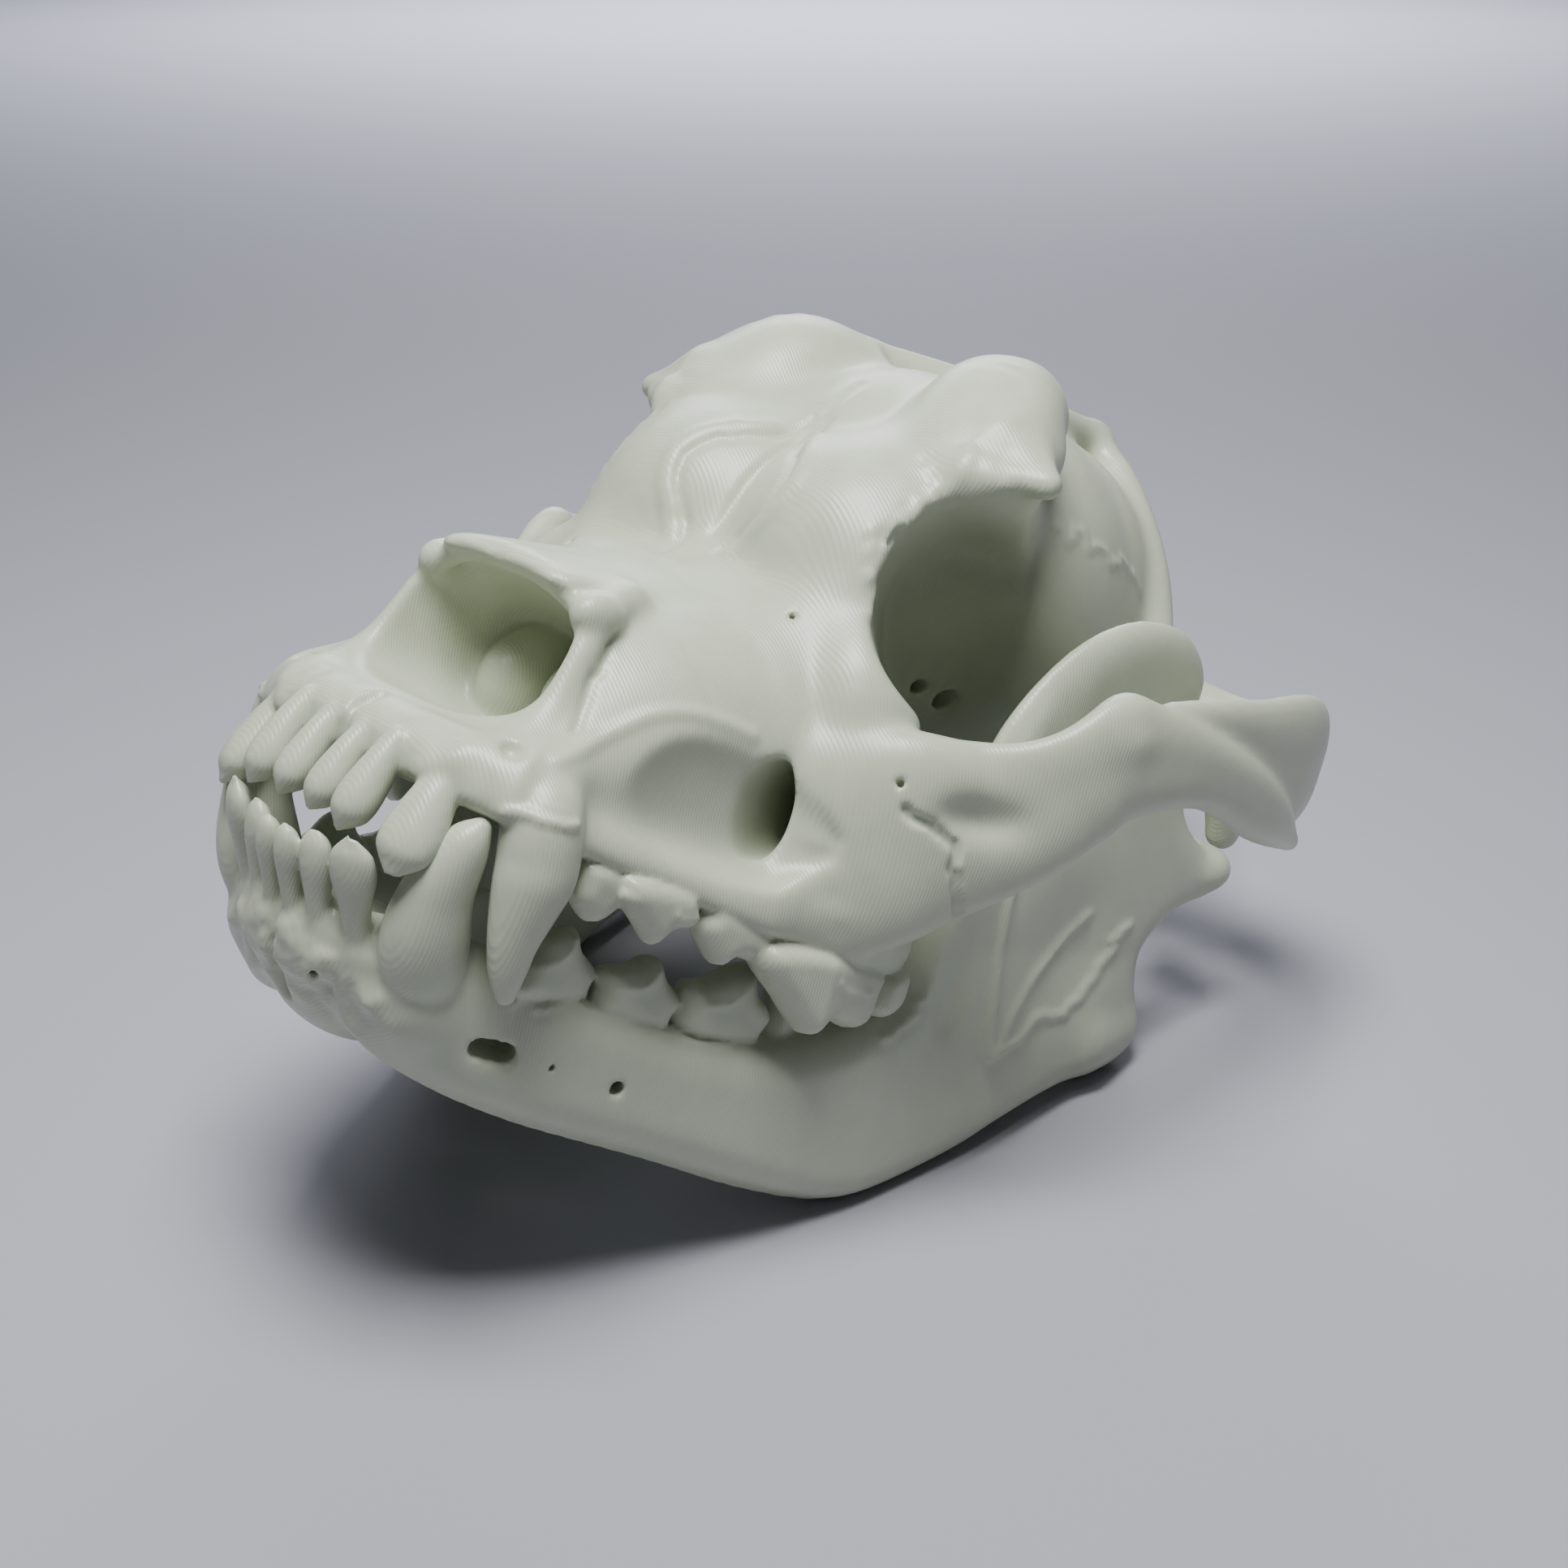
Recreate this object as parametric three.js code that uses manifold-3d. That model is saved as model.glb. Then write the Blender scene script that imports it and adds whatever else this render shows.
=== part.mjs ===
// Skull of a boxer-type dog, a printed plastic replica: the upper skull and the lower jaw,
// closed on each other and resting on the lower edges and hind corners of the jaw.
// Lengths are in millimetres. The forms are laid out in the skull's own frame: the origin is at the
// tips of the upper middle incisors, +X is the animal's left, +Y runs back and +Z up. A last group
// tips that frame nose up, as the skull rests, and sets it on the floor.
import * as THREE from 'three';
import { mergeVertices } from 'three/addons/utils/BufferGeometryUtils.js';
import Module from 'manifold-3d';

// Driving dimensions
const SKULL_LENGTH = 155;        // upper incisors to the crest of the nape
const CHEEK_HALF_WIDTH = 65;     // midline to the middle of the cheek arch
const BRAINCASE_RADII = [28.5, 37, 32];
const BROW_HALF_WIDTH = 41;      // midline to the tip of the brow's hook
const CREST_RADIUS = 3.2;        // of the crests on the temples and the nape
const ORBIT_RADIUS = 20;         // at the rim of the eye socket
const MUZZLE_HALF_WIDTH = 32;    // at the third premolars
const JAW_WALL = 6;              // half thickness of the lower jaw's body
const RAMUS_WALL = 2.6;          // half thickness of its upright plate
const REST_PITCH = 22.6;         // nose up, degrees
const REST_HEIGHT = 73.2;        // incisor tips above the floor, measured square to it
const PART_GAP = 0.3;            // thin cut between neighbouring sub-parts

// Spacing of the skin's mesh across, along and up, in stops of [place, spacing]: closer in the thin
// cheek arches and at the front teeth
const SKULL_MESH = [[[0, 4.2], [46, 4.2], [52, 3]], [[20, 4.7], [40, 5.7]], [[0, 5.3]]];
const SKULL_ROOM = [[0, 76], [-8, 178], [-28, 90]];
const JAW_MESH = [[[0, 3.3]], [[10, 5], [30, 6.6]], [[0, 5.8]]];
const JAW_ROOM = [[0, 64], [-8, 162], [-56, 58]];
const MESH_PULL = 0.3;           // share of a cell that a vertex may move when it is drawn to the skin
const SLOPE_STEP = 0.2;          // for measuring the slope of the distance

const PLASTIC = { color: 0xc9cac0, roughness: 0.32, metalness: 0.0 };
const UP = [0, 0, 1];

// Small vector helpers
const add = (a, b) => a.map((v, i) => v + b[i]);
const sub = (a, b) => a.map((v, i) => v - b[i]);
const scale = (a, s) => a.map((v) => v * s);
const dot = (a, b) => a[0] * b[0] + a[1] * b[1] + a[2] * b[2];
const unit = (a) => scale(a, 1 / Math.hypot(...a));
const clamp = (v, low, high) => Math.min(Math.max(v, low), high);
const mix = (a, b, t) => a + (b - a) * t;

function cross(a, b) {
  return [a[1] * b[2] - a[2] * b[1], a[2] * b[0] - a[0] * b[2], a[0] * b[1] - a[1] * b[0]];
}

// Value of a table of [at, value] stops, straight between them
function stops(table, at) {
  const next = table.findIndex((stop) => stop[0] > at);
  if (next === 0) return table[0][1];
  if (next < 0) return table[table.length - 1][1];
  const [from, to] = [table[next - 1], table[next]];
  return mix(from[1], to[1], (at - from[0]) / (to[0] - from[0]));
}

// Smooth curve through rows of numbers, sampled at count even steps
function smooth(rows, count, closed = false) {
  const size = rows.length;
  const spans = closed ? size : size - 1;
  const row = (i) => {
    if (closed) return rows[(i + size) % size];
    if (i < 0) return sub(scale(rows[0], 2), rows[1]);
    if (i >= size) return sub(scale(rows[size - 1], 2), rows[size - 2]);
    return rows[i];
  };
  return Array.from({ length: count }, (_, n) => {
    const at = (spans * n) / (closed ? count : count - 1);
    const i = Math.min(Math.floor(at), spans - 1);
    const t = at - i;
    const [a, b, c, d] = [row(i - 1), row(i), row(i + 1), row(i + 2)];
    return b.map((v, k) => v + 0.5 * t * (c[k] - a[k]
      + t * (2 * a[k] - 5 * v + 4 * c[k] - d[k] + t * (3 * (v - c[k]) + d[k] - a[k]))));
  });
}

// Forms. Each has the box it fills and a signed distance, negative inside.
function turn(degrees) {
  const euler = new THREE.Euler(...degrees.map(THREE.MathUtils.degToRad), 'ZYX');
  return new THREE.Matrix4().makeRotationFromEuler(euler).elements;
}

// Egg with three radii, turned about its middle
function egg(middle, radii, tilt = [0, 0, 0]) {
  const m = turn(tilt);
  const reach = [0, 1, 2].map((i) => Math.hypot(...radii.map((r, k) => m[4 * k + i] * r)));
  const distance = (x, y, z) => {
    const [px, py, pz] = [x - middle[0], y - middle[1], z - middle[2]];
    let near = 0;
    let slope = 0;
    for (let k = 0; k < 3; k += 1) {
      const part = (m[4 * k] * px + m[4 * k + 1] * py + m[4 * k + 2] * pz) / radii[k];
      near += part * part;
      slope += (part / radii[k]) ** 2;
    }
    near = Math.sqrt(near);
    return (near * (near - 1)) / (Math.sqrt(slope) + 1e-6);
  };
  return { low: sub(middle, reach), high: add(middle, reach), distance };
}

// Straight rod with a round section that changes from one end to the other
function rod(from, to, fromRadius, toRadius) {
  const along = sub(to, from);
  const square = dot(along, along);
  const distance = (x, y, z) => {
    const p = [x - from[0], y - from[1], z - from[2]];
    const t = clamp(dot(p, along) / square, 0, 1);
    const off = Math.hypot(p[0] - t * along[0], p[1] - t * along[1], p[2] - t * along[2]);
    return off - mix(fromRadius, toRadius, t);
  };
  const low = from.map((v, i) => Math.min(v - fromRadius, to[i] - toRadius));
  const high = from.map((v, i) => Math.max(v + fromRadius, to[i] + toRadius));
  return { low, high, distance };
}

// Bent rod: rows of x, y, z and radius
function bentRod(rows, count = 3 * rows.length) {
  const line = smooth(rows, count);
  const rods = line.slice(1).map((row, i) => rod(line[i].slice(0, 3), row.slice(0, 3), line[i][3], row[3]));
  return gather(rods);
}

// Bent bar with an oval section: rows of x, y, z, half height along up and half thickness across
function bar(rows, count, ups = rows.map(() => UP), power = 2) {
  const line = smooth(rows.map((row, i) => [...row, ...ups[i]]), count);
  const pieces = line.slice(1).map((end, i) => {
    const start = line[i];
    const from = start.slice(0, 3);
    const along = sub(end.slice(0, 3), from);
    const square = dot(along, along);
    const t = unit(along);
    const lean = add(start.slice(5), end.slice(5));
    const u = unit(sub(lean, scale(t, dot(lean, t))));
    const w = cross(t, u);
    const distance = (x, y, z) => {
      const p = [x - from[0], y - from[1], z - from[2]];
      const s = clamp(dot(p, along) / square, 0, 1);
      const q = [p[0] - s * along[0], p[1] - s * along[1], p[2] - s * along[2]];
      const [pu, pw, pt] = [dot(q, u), dot(q, w), dot(q, t)];
      const ratio = ((Math.abs(pu) / mix(start[3], end[3], s)) ** power
        + (Math.abs(pw) / mix(start[4], end[4], s)) ** power) ** (1 / power);
      const skin = (ratio - 1) * (Math.hypot(pu, pw) / Math.max(ratio, 1e-3));
      return Math.abs(pt) > 1e-3 ? Math.hypot(Math.max(skin, 0), pt) + Math.min(skin, 0) : skin;
    };
    const reach = Math.max(start[3], end[3], start[4], end[4]);
    const low = from.map((v, k) => Math.min(v, end[k]) - reach);
    const high = from.map((v, k) => Math.max(v, end[k]) + reach);
    return { low, high, distance };
  });
  return gather(pieces);
}

// Several forms taken as one
function gather(forms) {
  return {
    low: [0, 1, 2].map((i) => Math.min(...forms.map((form) => form.low[i]))),
    high: [0, 1, 2].map((i) => Math.max(...forms.map((form) => form.high[i]))),
    distance: (x, y, z) => forms.reduce((least, form) => Math.min(least, form.distance(x, y, z)), Infinity),
  };
}

// Upright curved plate: an outline in y and z, a middle surface x(y) and a half thickness
function plate(outline, count, middle, half, edge) {
  const line = smooth(outline, count, true);
  const outside = (y, z) => {
    let least = Infinity;
    let side = 1;
    line.forEach((a, i) => {
      const b = line[(i + count - 1) % count];
      const e = [b[0] - a[0], b[1] - a[1]];
      const w = [y - a[0], z - a[1]];
      const t = clamp((w[0] * e[0] + w[1] * e[1]) / (e[0] * e[0] + e[1] * e[1]), 0, 1);
      least = Math.min(least, Math.hypot(w[0] - t * e[0], w[1] - t * e[1]));
      const [above, below, left] = [z >= a[1], z < b[1], e[0] * w[1] > e[1] * w[0]];
      if ((above && below && left) || (!above && !below && !left)) side = -side;
    });
    return side * least;
  };
  const known = new Map();
  const rim = (y, z) => {
    const key = `${y} ${z}`;
    if (!known.has(key)) known.set(key, outside(y, z));
    return known.get(key);
  };
  const distance = (x, y, z) => {
    const beyond = rim(y, z);
    const inset = clamp(-beyond / edge, 0, 1);
    const wall = half(y, z) * Math.max(Math.sqrt(1 - (1 - inset) ** 2), 0.02);
    const off = Math.abs(x - middle(y)) - wall;
    return beyond > 0 ? Math.hypot(Math.max(off, 0), beyond) : off;
  };
  const ys = line.map((p) => p[0]);
  const zs = line.map((p) => p[1]);
  const low = [-5, Math.min(...ys), Math.min(...zs)];
  const high = [90, Math.max(...ys), Math.max(...zs)];
  return { low, high, distance };
}

// Everything below a sloping plane, in front of a limit
function below(height, slope, backLimit) {
  const square = Math.hypot(1, slope);
  const distance = (x, y, z) => (z - height - slope * y) / square;
  return { low: [-100, -100, -100], high: [100, backLimit, 40], distance };
}

// Lump of clay that forms are pressed onto and out of, alike on both sides of the midline
class Clay {
  constructor() {
    this.steps = [];
  }

  join(form, blend) {
    this.steps.push({ ...form, blend, sign: 1 });
    return this;
  }

  carve(form, blend) {
    this.steps.push({ ...form, blend, sign: -1 });
    return this;
  }

  at(x, y, z) {
    const point = [Math.abs(x), y, z];
    return this.steps.reduce((value, { low, high, distance, blend, sign }) => {
      const reach = blend + 2;
      if (point.some((v, i) => v < low[i] - reach || v > high[i] + reach)) return value;
      const [a, b] = [sign * value, distance(...point)];
      const round = Math.max(blend - Math.abs(a - b), 0) / blend;
      return sign * (Math.min(a, b) - (round ** 3 * blend) / 6);
    }, 30);
  }
}

// Places of the grid's lines along one axis
function rulings([low, high], spacing) {
  const lines = [low];
  while (lines[lines.length - 1] < high) {
    const last = lines[lines.length - 1];
    lines.push(last + stops(spacing, last));
  }
  return lines;
}

// Skin of a lump: one vertex for each sheet of surface in a cell of a grid, drawn onto the surface,
// and a four-sided face round each grid edge that crosses it
function skin(clay, room, spacing) {
  const [half, along, up] = room.map((reach, i) => rulings(reach, spacing[i]));
  const axes = [[...half.slice(1).map((v) => -v).reverse(), ...half], along, up];
  const count = axes.map((axis) => axis.length);
  const index = (i, j, k) => (i * count[1] + j) * count[2] + k;
  const place = (...cell) => cell.map((at, n) => {
    const first = Math.floor(at);
    return first === at ? axes[n][at] : mix(axes[n][first], axes[n][first + 1], at - first);
  });
  const values = new Float64Array(count[0] * count[1] * count[2]);
  for (let i = 0; i < count[0]; i += 1) {
    for (let j = 0; j < count[1]; j += 1) {
      for (let k = 0; k < count[2]; k += 1) values[index(i, j, k)] = clay.at(...place(i, j, k)) || 1e-6;
    }
  }
  const bits = (corner) => [corner & 1, (corner >> 1) & 1, (corner >> 2) & 1];
  const faces = [];
  for (let axis = 0; axis < 3; axis += 1) {
    const [u, v] = [1 << ((axis + 1) % 3), 1 << ((axis + 2) % 3)];
    for (const base of [0, 1 << axis]) faces.push([base, base + u, base + u + v, base + v]);
  }
  const vertices = [];
  const sheetOf = new Map();
  const edgeName = (i, j, k, a, b) => {
    const [p, q] = [bits(Math.min(a, b)), bits(a ^ b)];
    return `${index(i + p[0], j + p[1], k + p[2])} ${q.indexOf(1)}`;
  };
  const pull = (point, cell) => {
    const free = cell.map((at, n) => MESH_PULL * (axes[n][at + 1] - axes[n][at]));
    let p = point;
    for (let turnNumber = 0; turnNumber < 4; turnNumber += 1) {
      const here = clay.at(...p);
      const slope = [0, 1, 2].map((i) => {
        const ahead = p.map((v, n) => (n === i ? v + SLOPE_STEP : v));
        return (clay.at(...ahead) - here) / SLOPE_STEP;
      });
      const square = Math.max(dot(slope, slope), 0.25);
      p = p.map((v, i) => clamp(v - (here * slope[i]) / square, point[i] - free[i], point[i] + free[i]));
    }
    return p;
  };
  for (let i = 0; i < count[0] - 1; i += 1) {
    for (let j = 0; j < count[1] - 1; j += 1) {
      for (let k = 0; k < count[2] - 1; k += 1) {
        const corners = Array.from({ length: 8 }, (_, c) => {
          const [a, b, d] = bits(c);
          return values[index(i + a, j + b, k + d)];
        });
        const inside = corners.filter((v) => v < 0).length;
        if (inside === 0 || inside === 8) continue;
        const links = new Map();
        const link = (a, b) => {
          links.set(a, [...(links.get(a) || []), b]);
          links.set(b, [...(links.get(b) || []), a]);
        };
        for (const face of faces) {
          const sides = face.map((c, n) => [c, face[(n + 1) % 4]]);
          const crossed = sides.filter(([a, b]) => corners[a] < 0 !== corners[b] < 0);
          const names = crossed.map(([a, b]) => Math.min(a, b) * 8 + Math.max(a, b));
          if (names.length === 2) link(names[0], names[1]);
          if (names.length === 4) {
            const first = corners[face[0]] < 0 ? 3 : 0;
            link(names[first], names[(first + 1) % 4]);
            link(names[(first + 2) % 4], names[(first + 3) % 4]);
          }
        }
        const left = new Set(links.keys());
        while (left.size) {
          const loop = [[...left][0]];
          left.delete(loop[0]);
          for (;;) {
            const next = links.get(loop[loop.length - 1]).find((name) => left.has(name));
            if (next === undefined) break;
            loop.push(next);
            left.delete(next);
          }
          const points = loop.map((name) => {
            const [a, b] = [name >> 3, name & 7];
            const t = corners[a] / (corners[a] - corners[b]);
            const [p, q] = [bits(a), bits(b)];
            return place(i + mix(p[0], q[0], t), j + mix(p[1], q[1], t), k + mix(p[2], q[2], t));
          });
          const middle = scale(points.reduce(add), 1 / points.length);
          const vertex = vertices.push(pull(middle, [i, j, k])) - 1;
          for (const name of loop) {
            const edge = edgeName(i, j, k, name >> 3, name & 7);
            sheetOf.set(`${index(i, j, k)} ${edge}`, vertex);
          }
        }
      }
    }
  }
  const triangles = [];
  for (let i = 1; i < count[0] - 1; i += 1) {
    for (let j = 1; j < count[1] - 1; j += 1) {
      for (let k = 1; k < count[2] - 1; k += 1) {
        for (let axis = 0; axis < 3; axis += 1) {
          const ahead = [i, j, k].map((v, n) => v + (n === axis));
          const [here, there] = [values[index(i, j, k)], values[index(...ahead)]];
          if (here < 0 === there < 0) continue;
          const [u, v] = [(axis + 1) % 3, (axis + 2) % 3];
          const ring = [[0, 0], [-1, 0], [-1, -1], [0, -1]].map(([du, dv]) => {
            const cell = [i, j, k];
            cell[u] += du;
            cell[v] += dv;
            return sheetOf.get(`${index(...cell)} ${index(i, j, k)} ${axis}`);
          });
          const [a, b, c, d] = here < 0 ? ring : ring.reverse();
          const [pa, pb, pc, pd] = [a, b, c, d].map((n) => vertices[n]);
          const short = Math.hypot(...sub(pa, pc)) < Math.hypot(...sub(pb, pd));
          triangles.push(...(short ? [a, b, c, a, c, d] : [a, b, d, b, c, d]));
        }
      }
    }
  }
  const geometry = new THREE.BufferGeometry();
  geometry.setAttribute('position', new THREE.Float32BufferAttribute(vertices.flat(), 3));
  geometry.setIndex(triangles);
  return geometry;
}

// Closed surfaces to solids and back
const wasm = await Module();
wasm.setup();

function solid(geometry) {
  const bare = geometry.clone();
  bare.deleteAttribute('normal');
  bare.deleteAttribute('uv');
  const merged = mergeVertices(bare, 1e-4);
  return new wasm.Manifold(new wasm.Mesh({
    numProp: 3,
    vertProperties: new Float32Array(merged.attributes.position.array),
    triVerts: new Uint32Array(merged.index.array),
  }));
}

function surface(body) {
  const mesh = body.getMesh();
  const geometry = new THREE.BufferGeometry();
  geometry.setAttribute('position', new THREE.Float32BufferAttribute(mesh.vertProperties, 3));
  geometry.setIndex([...mesh.triVerts]);
  geometry.computeVertexNormals();
  return geometry;
}

const largest = (body) => body.decompose().reduce((a, b) => (a.volume() > b.volume() ? a : b));

// Bones of the upper skull, from the nose back
const upper = new Clay();

function muzzleBones() {
  const w = MUZZLE_HALF_WIDTH;
  const hull = [[0, 13, 6, 9, 0.66 * w], [0, 24, 10, 18, 0.83 * w], [0, 38, 10.5, 25, w],
    [0, 54, 9, 28, 1.11 * w], [0, 70, 12, 30, 1.125 * w]];
  upper.join(bar(hull, 18, hull.map(() => UP), 2.2), 4);
  const nasalRoof = [[0, 25, 34, 2.8, 12.8], [0, 32, 33.6, 3, 13], [0, 44, 32.5, 4.5, 12.5],
    [0, 58, 32.5, 6, 12], [0, 68, 37, 8, 11], [0, 78, 47, 9, 10]];
  upper.join(bar(nasalRoof, 12), 3);
  const incisorBone = [[0, 8, 10, 5.5, 5], [9, 8, 10, 5.5, 5], [16.5, 10.5, 10, 5.5, 5],
    [22, 15.5, 9, 6, 5]];
  upper.join(bar(incisorBone, 10), 4);
  const apertureRim = [[17.5, 13.5, 13, 3], [17.7, 22, 19, 3], [15, 28.5, 29.5, 3], [12, 36, 32.5, 3]];
  upper.join(bentRod(apertureRim), 2.5);
  const canineRoot = [[25, 16, 6, 6], [24.5, 20, 14, 5], [21, 32, 24, 3.5]];
  upper.join(bentRod(canineRoot), 4);
}

// Frontal bones: a sloping ridge on each side, a shallow valley between them, the wall in front of
// each eye socket, and the hollow of the temple behind
function foreheadBones() {
  const ridge = [[20, 57, 22, 8, 9], [20.5, 66, 33, 9, 10], [20.5, 75, 44.5, 9, 11],
    [20.5, 83, 56.5, 9, 11.5], [20.5, 93, 69.3, 9.5, 12], [16, 105, 70, 8, 11.5]];
  const facing = [[0.2, -0.9, 0.4], [0.25, -0.75, 0.6], [0.2, -0.7, 0.7], [0.1, -0.6, 0.8],
    [0, -0.3, 1], [0, 0.2, 1]];
  upper.join(bar(ridge, 18, facing), 6);
  upper.join(egg([0, 103, 50], [22, 28, 25]), 8);
  upper.join(egg([14, 84, 44], [22, 24, 20]), 6);
  const socketWall = [[22, 72, 44, 9], [24.2, 69.4, 34.4, 9], [31, 65, 26.5, 9], [33.5, 65.4, 13, 9]];
  upper.join(bentRod(socketWall), 4);
  upper.carve(egg([51, 113, 45], [28, 28, 41]), 4);
}

// Cheek arch: the cheekbone from its root on the muzzle, and the temple's bar that it lies on.
// The eye socket is one round cut through the forehead's side and the cheekbone.
function cheekBones() {
  const w = CHEEK_HALF_WIDTH;
  const cheekbone = [[27, 55, 6, 16, 6], [36, 60, 8, 16, 6.5], [44, 66, 11.5, 15, 5.6],
    [50, 74.5, 15, 13, 4.8], [56, 81.5, 22.6, 12, 4], [60, 89, 27.6, 10.2, 3.6],
    [w - 0.7, 105, 28.4, 6.2, 3.4], [w + 0.5, 124, 24.2, 5, 3.2], [w - 1.7, 143, 18.8, 2.4, 2.4]];
  upper.join(bar(cheekbone, 30, cheekbone.map(() => UP), 2.5), 3);
  upper.join(rod([59.5, 87, 33], [59, 86.5, 36.5], 3, 2), 3);
  const templeBar = [[60.5, 95, 36, 1.8, 1.8], [w - 2.7, 108, 35.3, 4.4, 2.8],
    [w - 2.2, 124, 32, 9.5, 3.2], [w - 3.5, 138, 31.5, 11, 4], [56.5, 148, 30.5, 10.5, 4.8],
    [45, 152.5, 29, 9, 5.5], [30, 147, 31, 9, 6]];
  upper.join(bar(templeBar, 30, templeBar.map(() => UP), 2.5), 1.2);
  upper.join(rod([47, 154, 20], [45.5, 156.5, 7], 4.5, 3), 4);
  upper.carve(rod([57.5, 54.3, 50.4], [27.3, 98.3, 36.6], ORBIT_RADIUS, 0.8 * ORBIT_RADIUS), 2);
}

// Braincase with the brow's hooks, the lines of the temples, the crest of the nape, and its base
function braincaseBones() {
  upper.join(egg([0, 120, 43], BRAINCASE_RADII), 5);
  upper.join(egg([0, 102, 42], [21, 24, 25]), 6);
  upper.join(egg([28, 87.3, 65.5], [9, 14, 5], [29.4, 28.5, 0]), 6);
  upper.join(rod([30, 82, 64], [BROW_HALF_WIDTH - 0.8, 83, 61.8], 6, 2.4), 4);
  const r = CREST_RADIUS;
  const templeLine = [[30, 91, 70, r], [25, 95, 73, r], [16, 107, 75, r], [5, 124, 75, r],
    [0, 135, 74.5, r]];
  upper.join(bentRod(templeLine), 6);
  upper.join(rod([0, 130, 74.5], [0, SKULL_LENGTH, 73.5], r, r), 5);
  upper.join(egg([0, 141, 45], [25, 14, 27]), 6);
  const napeCrest = [[0, 154, 73, r], [8.5, 153, 68.5, r], [16.5, 152, 61, r], [23, 150.5, 52, r],
    [28.5, 148.5, 40, r], [33, 146, 31, 4]];
  upper.join(bentRod(napeCrest), 6);
  upper.join(egg([0, 148, 38], [26, 9, 30]), 6);
  upper.join(egg([10.5, 160, 19], [7.5, 8, 8.5], [0, 0, 20]), 3);
  upper.join(egg([0, 126, 16], [19, 36, 10]), 6);
  upper.join(egg([19, 138, 8], [9, 12.5, 9]), 3);
  upper.join(rod([26, 151, 22], [26, 153, 3], 5, 2.5), 4);
  upper.carve(egg([0, 168, 24], [7.5, 14, 6.5]), 2);
}

// Tooth line, palate, the hollow on the side of the muzzle with its nerve hole, and the nose opening
function faceOpenings() {
  upper.join(egg([34, 62, -2], [9.5, 20, 9], [-15, 0, -14]), 5);
  upper.carve(below(8.6, -0.26, 82), 2.5);
  upper.carve(egg([0, 44, -9], [23, 44, 10], [-14.6, 0, 0]), 3);
  upper.carve(egg([36.8, 35.5, 11], [10, 17, 17], [-6, 0, -14]), 0.8);
  upper.carve(bar([[33.5, 43, 11, 5.5, 2.2], [32, 51.5, 11, 7.3, 2.8], [28, 68, 12, 4, 2.6]], 8), 0.8);
  const noseOpening = [[0, 5, 34, 11, 18.5], [0, 19.3, 23.8, 10.2, 17.2], [0, 34, 20, 9.5, 12.5],
    [0, 48, 16, 5, 8]];
  upper.carve(bar(noseOpening, 12, noseOpening.map(() => UP), 3.2), 1);
}

// Lower jaw: one upright plate on each side, joined at the chin
const lower = new Clay();

function jawBones() {
  const lowerEdge = [[4, -11], [3.5, -17], [7, -25], [13, -30.5], [27, -35.7], [49, -40.7], [66, -44.6],
    [80, -45.5], [95, -41], [107, -35.5], [119, -28.5], [129, -24.3], [136.5, -22.8]];
  const rearEdge = [[138.5, -18.5], [134, -13], [133, -5], [139, 2], [147, 5], [149, 11], [141, 14],
    [133, 20], [128.5, 32], [128, 41]];
  const upperEdge = [[120, 47], [108, 46.5], [97, 40], [89, 27], [86, 10], [83, -6], [77, -15], [64, -20],
    [52, -20.5], [40, -18], [29, -13], [18, -12]];
  const outline = [...lowerEdge, ...rearEdge, ...upperEdge];
  const spread = [[-5, 2], [0, 5], [5, 9], [10, 12], [20, 17.5], [30, 22], [45, 27], [60, 32], [80, 38],
    [100, 43], [120, 46.5], [140, 49], [160, 50]];
  const body = [[-5, 3], [0, 4], [5, 5], [20, JAW_WALL], [60, JAW_WALL + 0.5], [85, JAW_WALL],
    [160, JAW_WALL - 1]];
  const half = (y, z) => {
    const upright = clamp((z + 30) / 25, 0, 1) * clamp((y - 80) / 15, 0, 1);
    return mix(stops(body, y), RAMUS_WALL, upright);
  };
  lower.join(plate(outline, 140, (y) => stops(spread, y), half, 6), 1);
  lower.join(egg([0, 15, -22], [12, 12, 9], [-25, 0, 0]), 5);
  lower.join(egg([0, 8, -17], [12.5, 8, 5.5]), 4);
  lower.join(rod([42, 147.5, 9], [50.5, 145.5, 10], 5, 3.5), 4);
  lower.join(rod([48, 126, -20], [48.5, 134.5, -19.3], 5, 3.5), 4);
}

// Teeth. Rows of crown tip, root, half length along the row and half width across it
const UPPER_TEETH = [
  { tip: [3.2, 1.5, 0.6], root: [3, 6.5, 11], long: 2.7, wide: 2.8 },
  { tip: [9.3, 1.8, 0.2], root: [9, 7, 11], long: 2.9, wide: 2.9 },
  { tip: [17.3, 4.2, -2.2], root: [17, 9.5, 10], long: 3.7, wide: 3.6 },
  { tip: [27.3, 17.4, -16.7], root: [26, 18, 8], long: 5, wide: 4.2, bulge: 0.6 },
  { tip: [28.8, 26.9, -5], root: [28, 28, 4], long: 3.4, wide: 2.4 },
  { tip: [31.7, 34.5, -7.1], root: [31, 37, 3], long: 5, wide: 2.6 },
  { tip: [34.5, 45, -9.4], root: [34, 48, 1], long: 5.8, wide: 2.8 },
  { tip: [41, 58.5, -17], root: [38, 60, -2], long: 6.5, wide: 3.6 },
  { tip: [39.5, 66, -14], root: [37.5, 66, -3], long: 4.2, wide: 3.4 },
  { tip: [39, 74.5, -13], root: [37.5, 74.5, -4], long: 4.6, wide: 4.2 },
];
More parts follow.
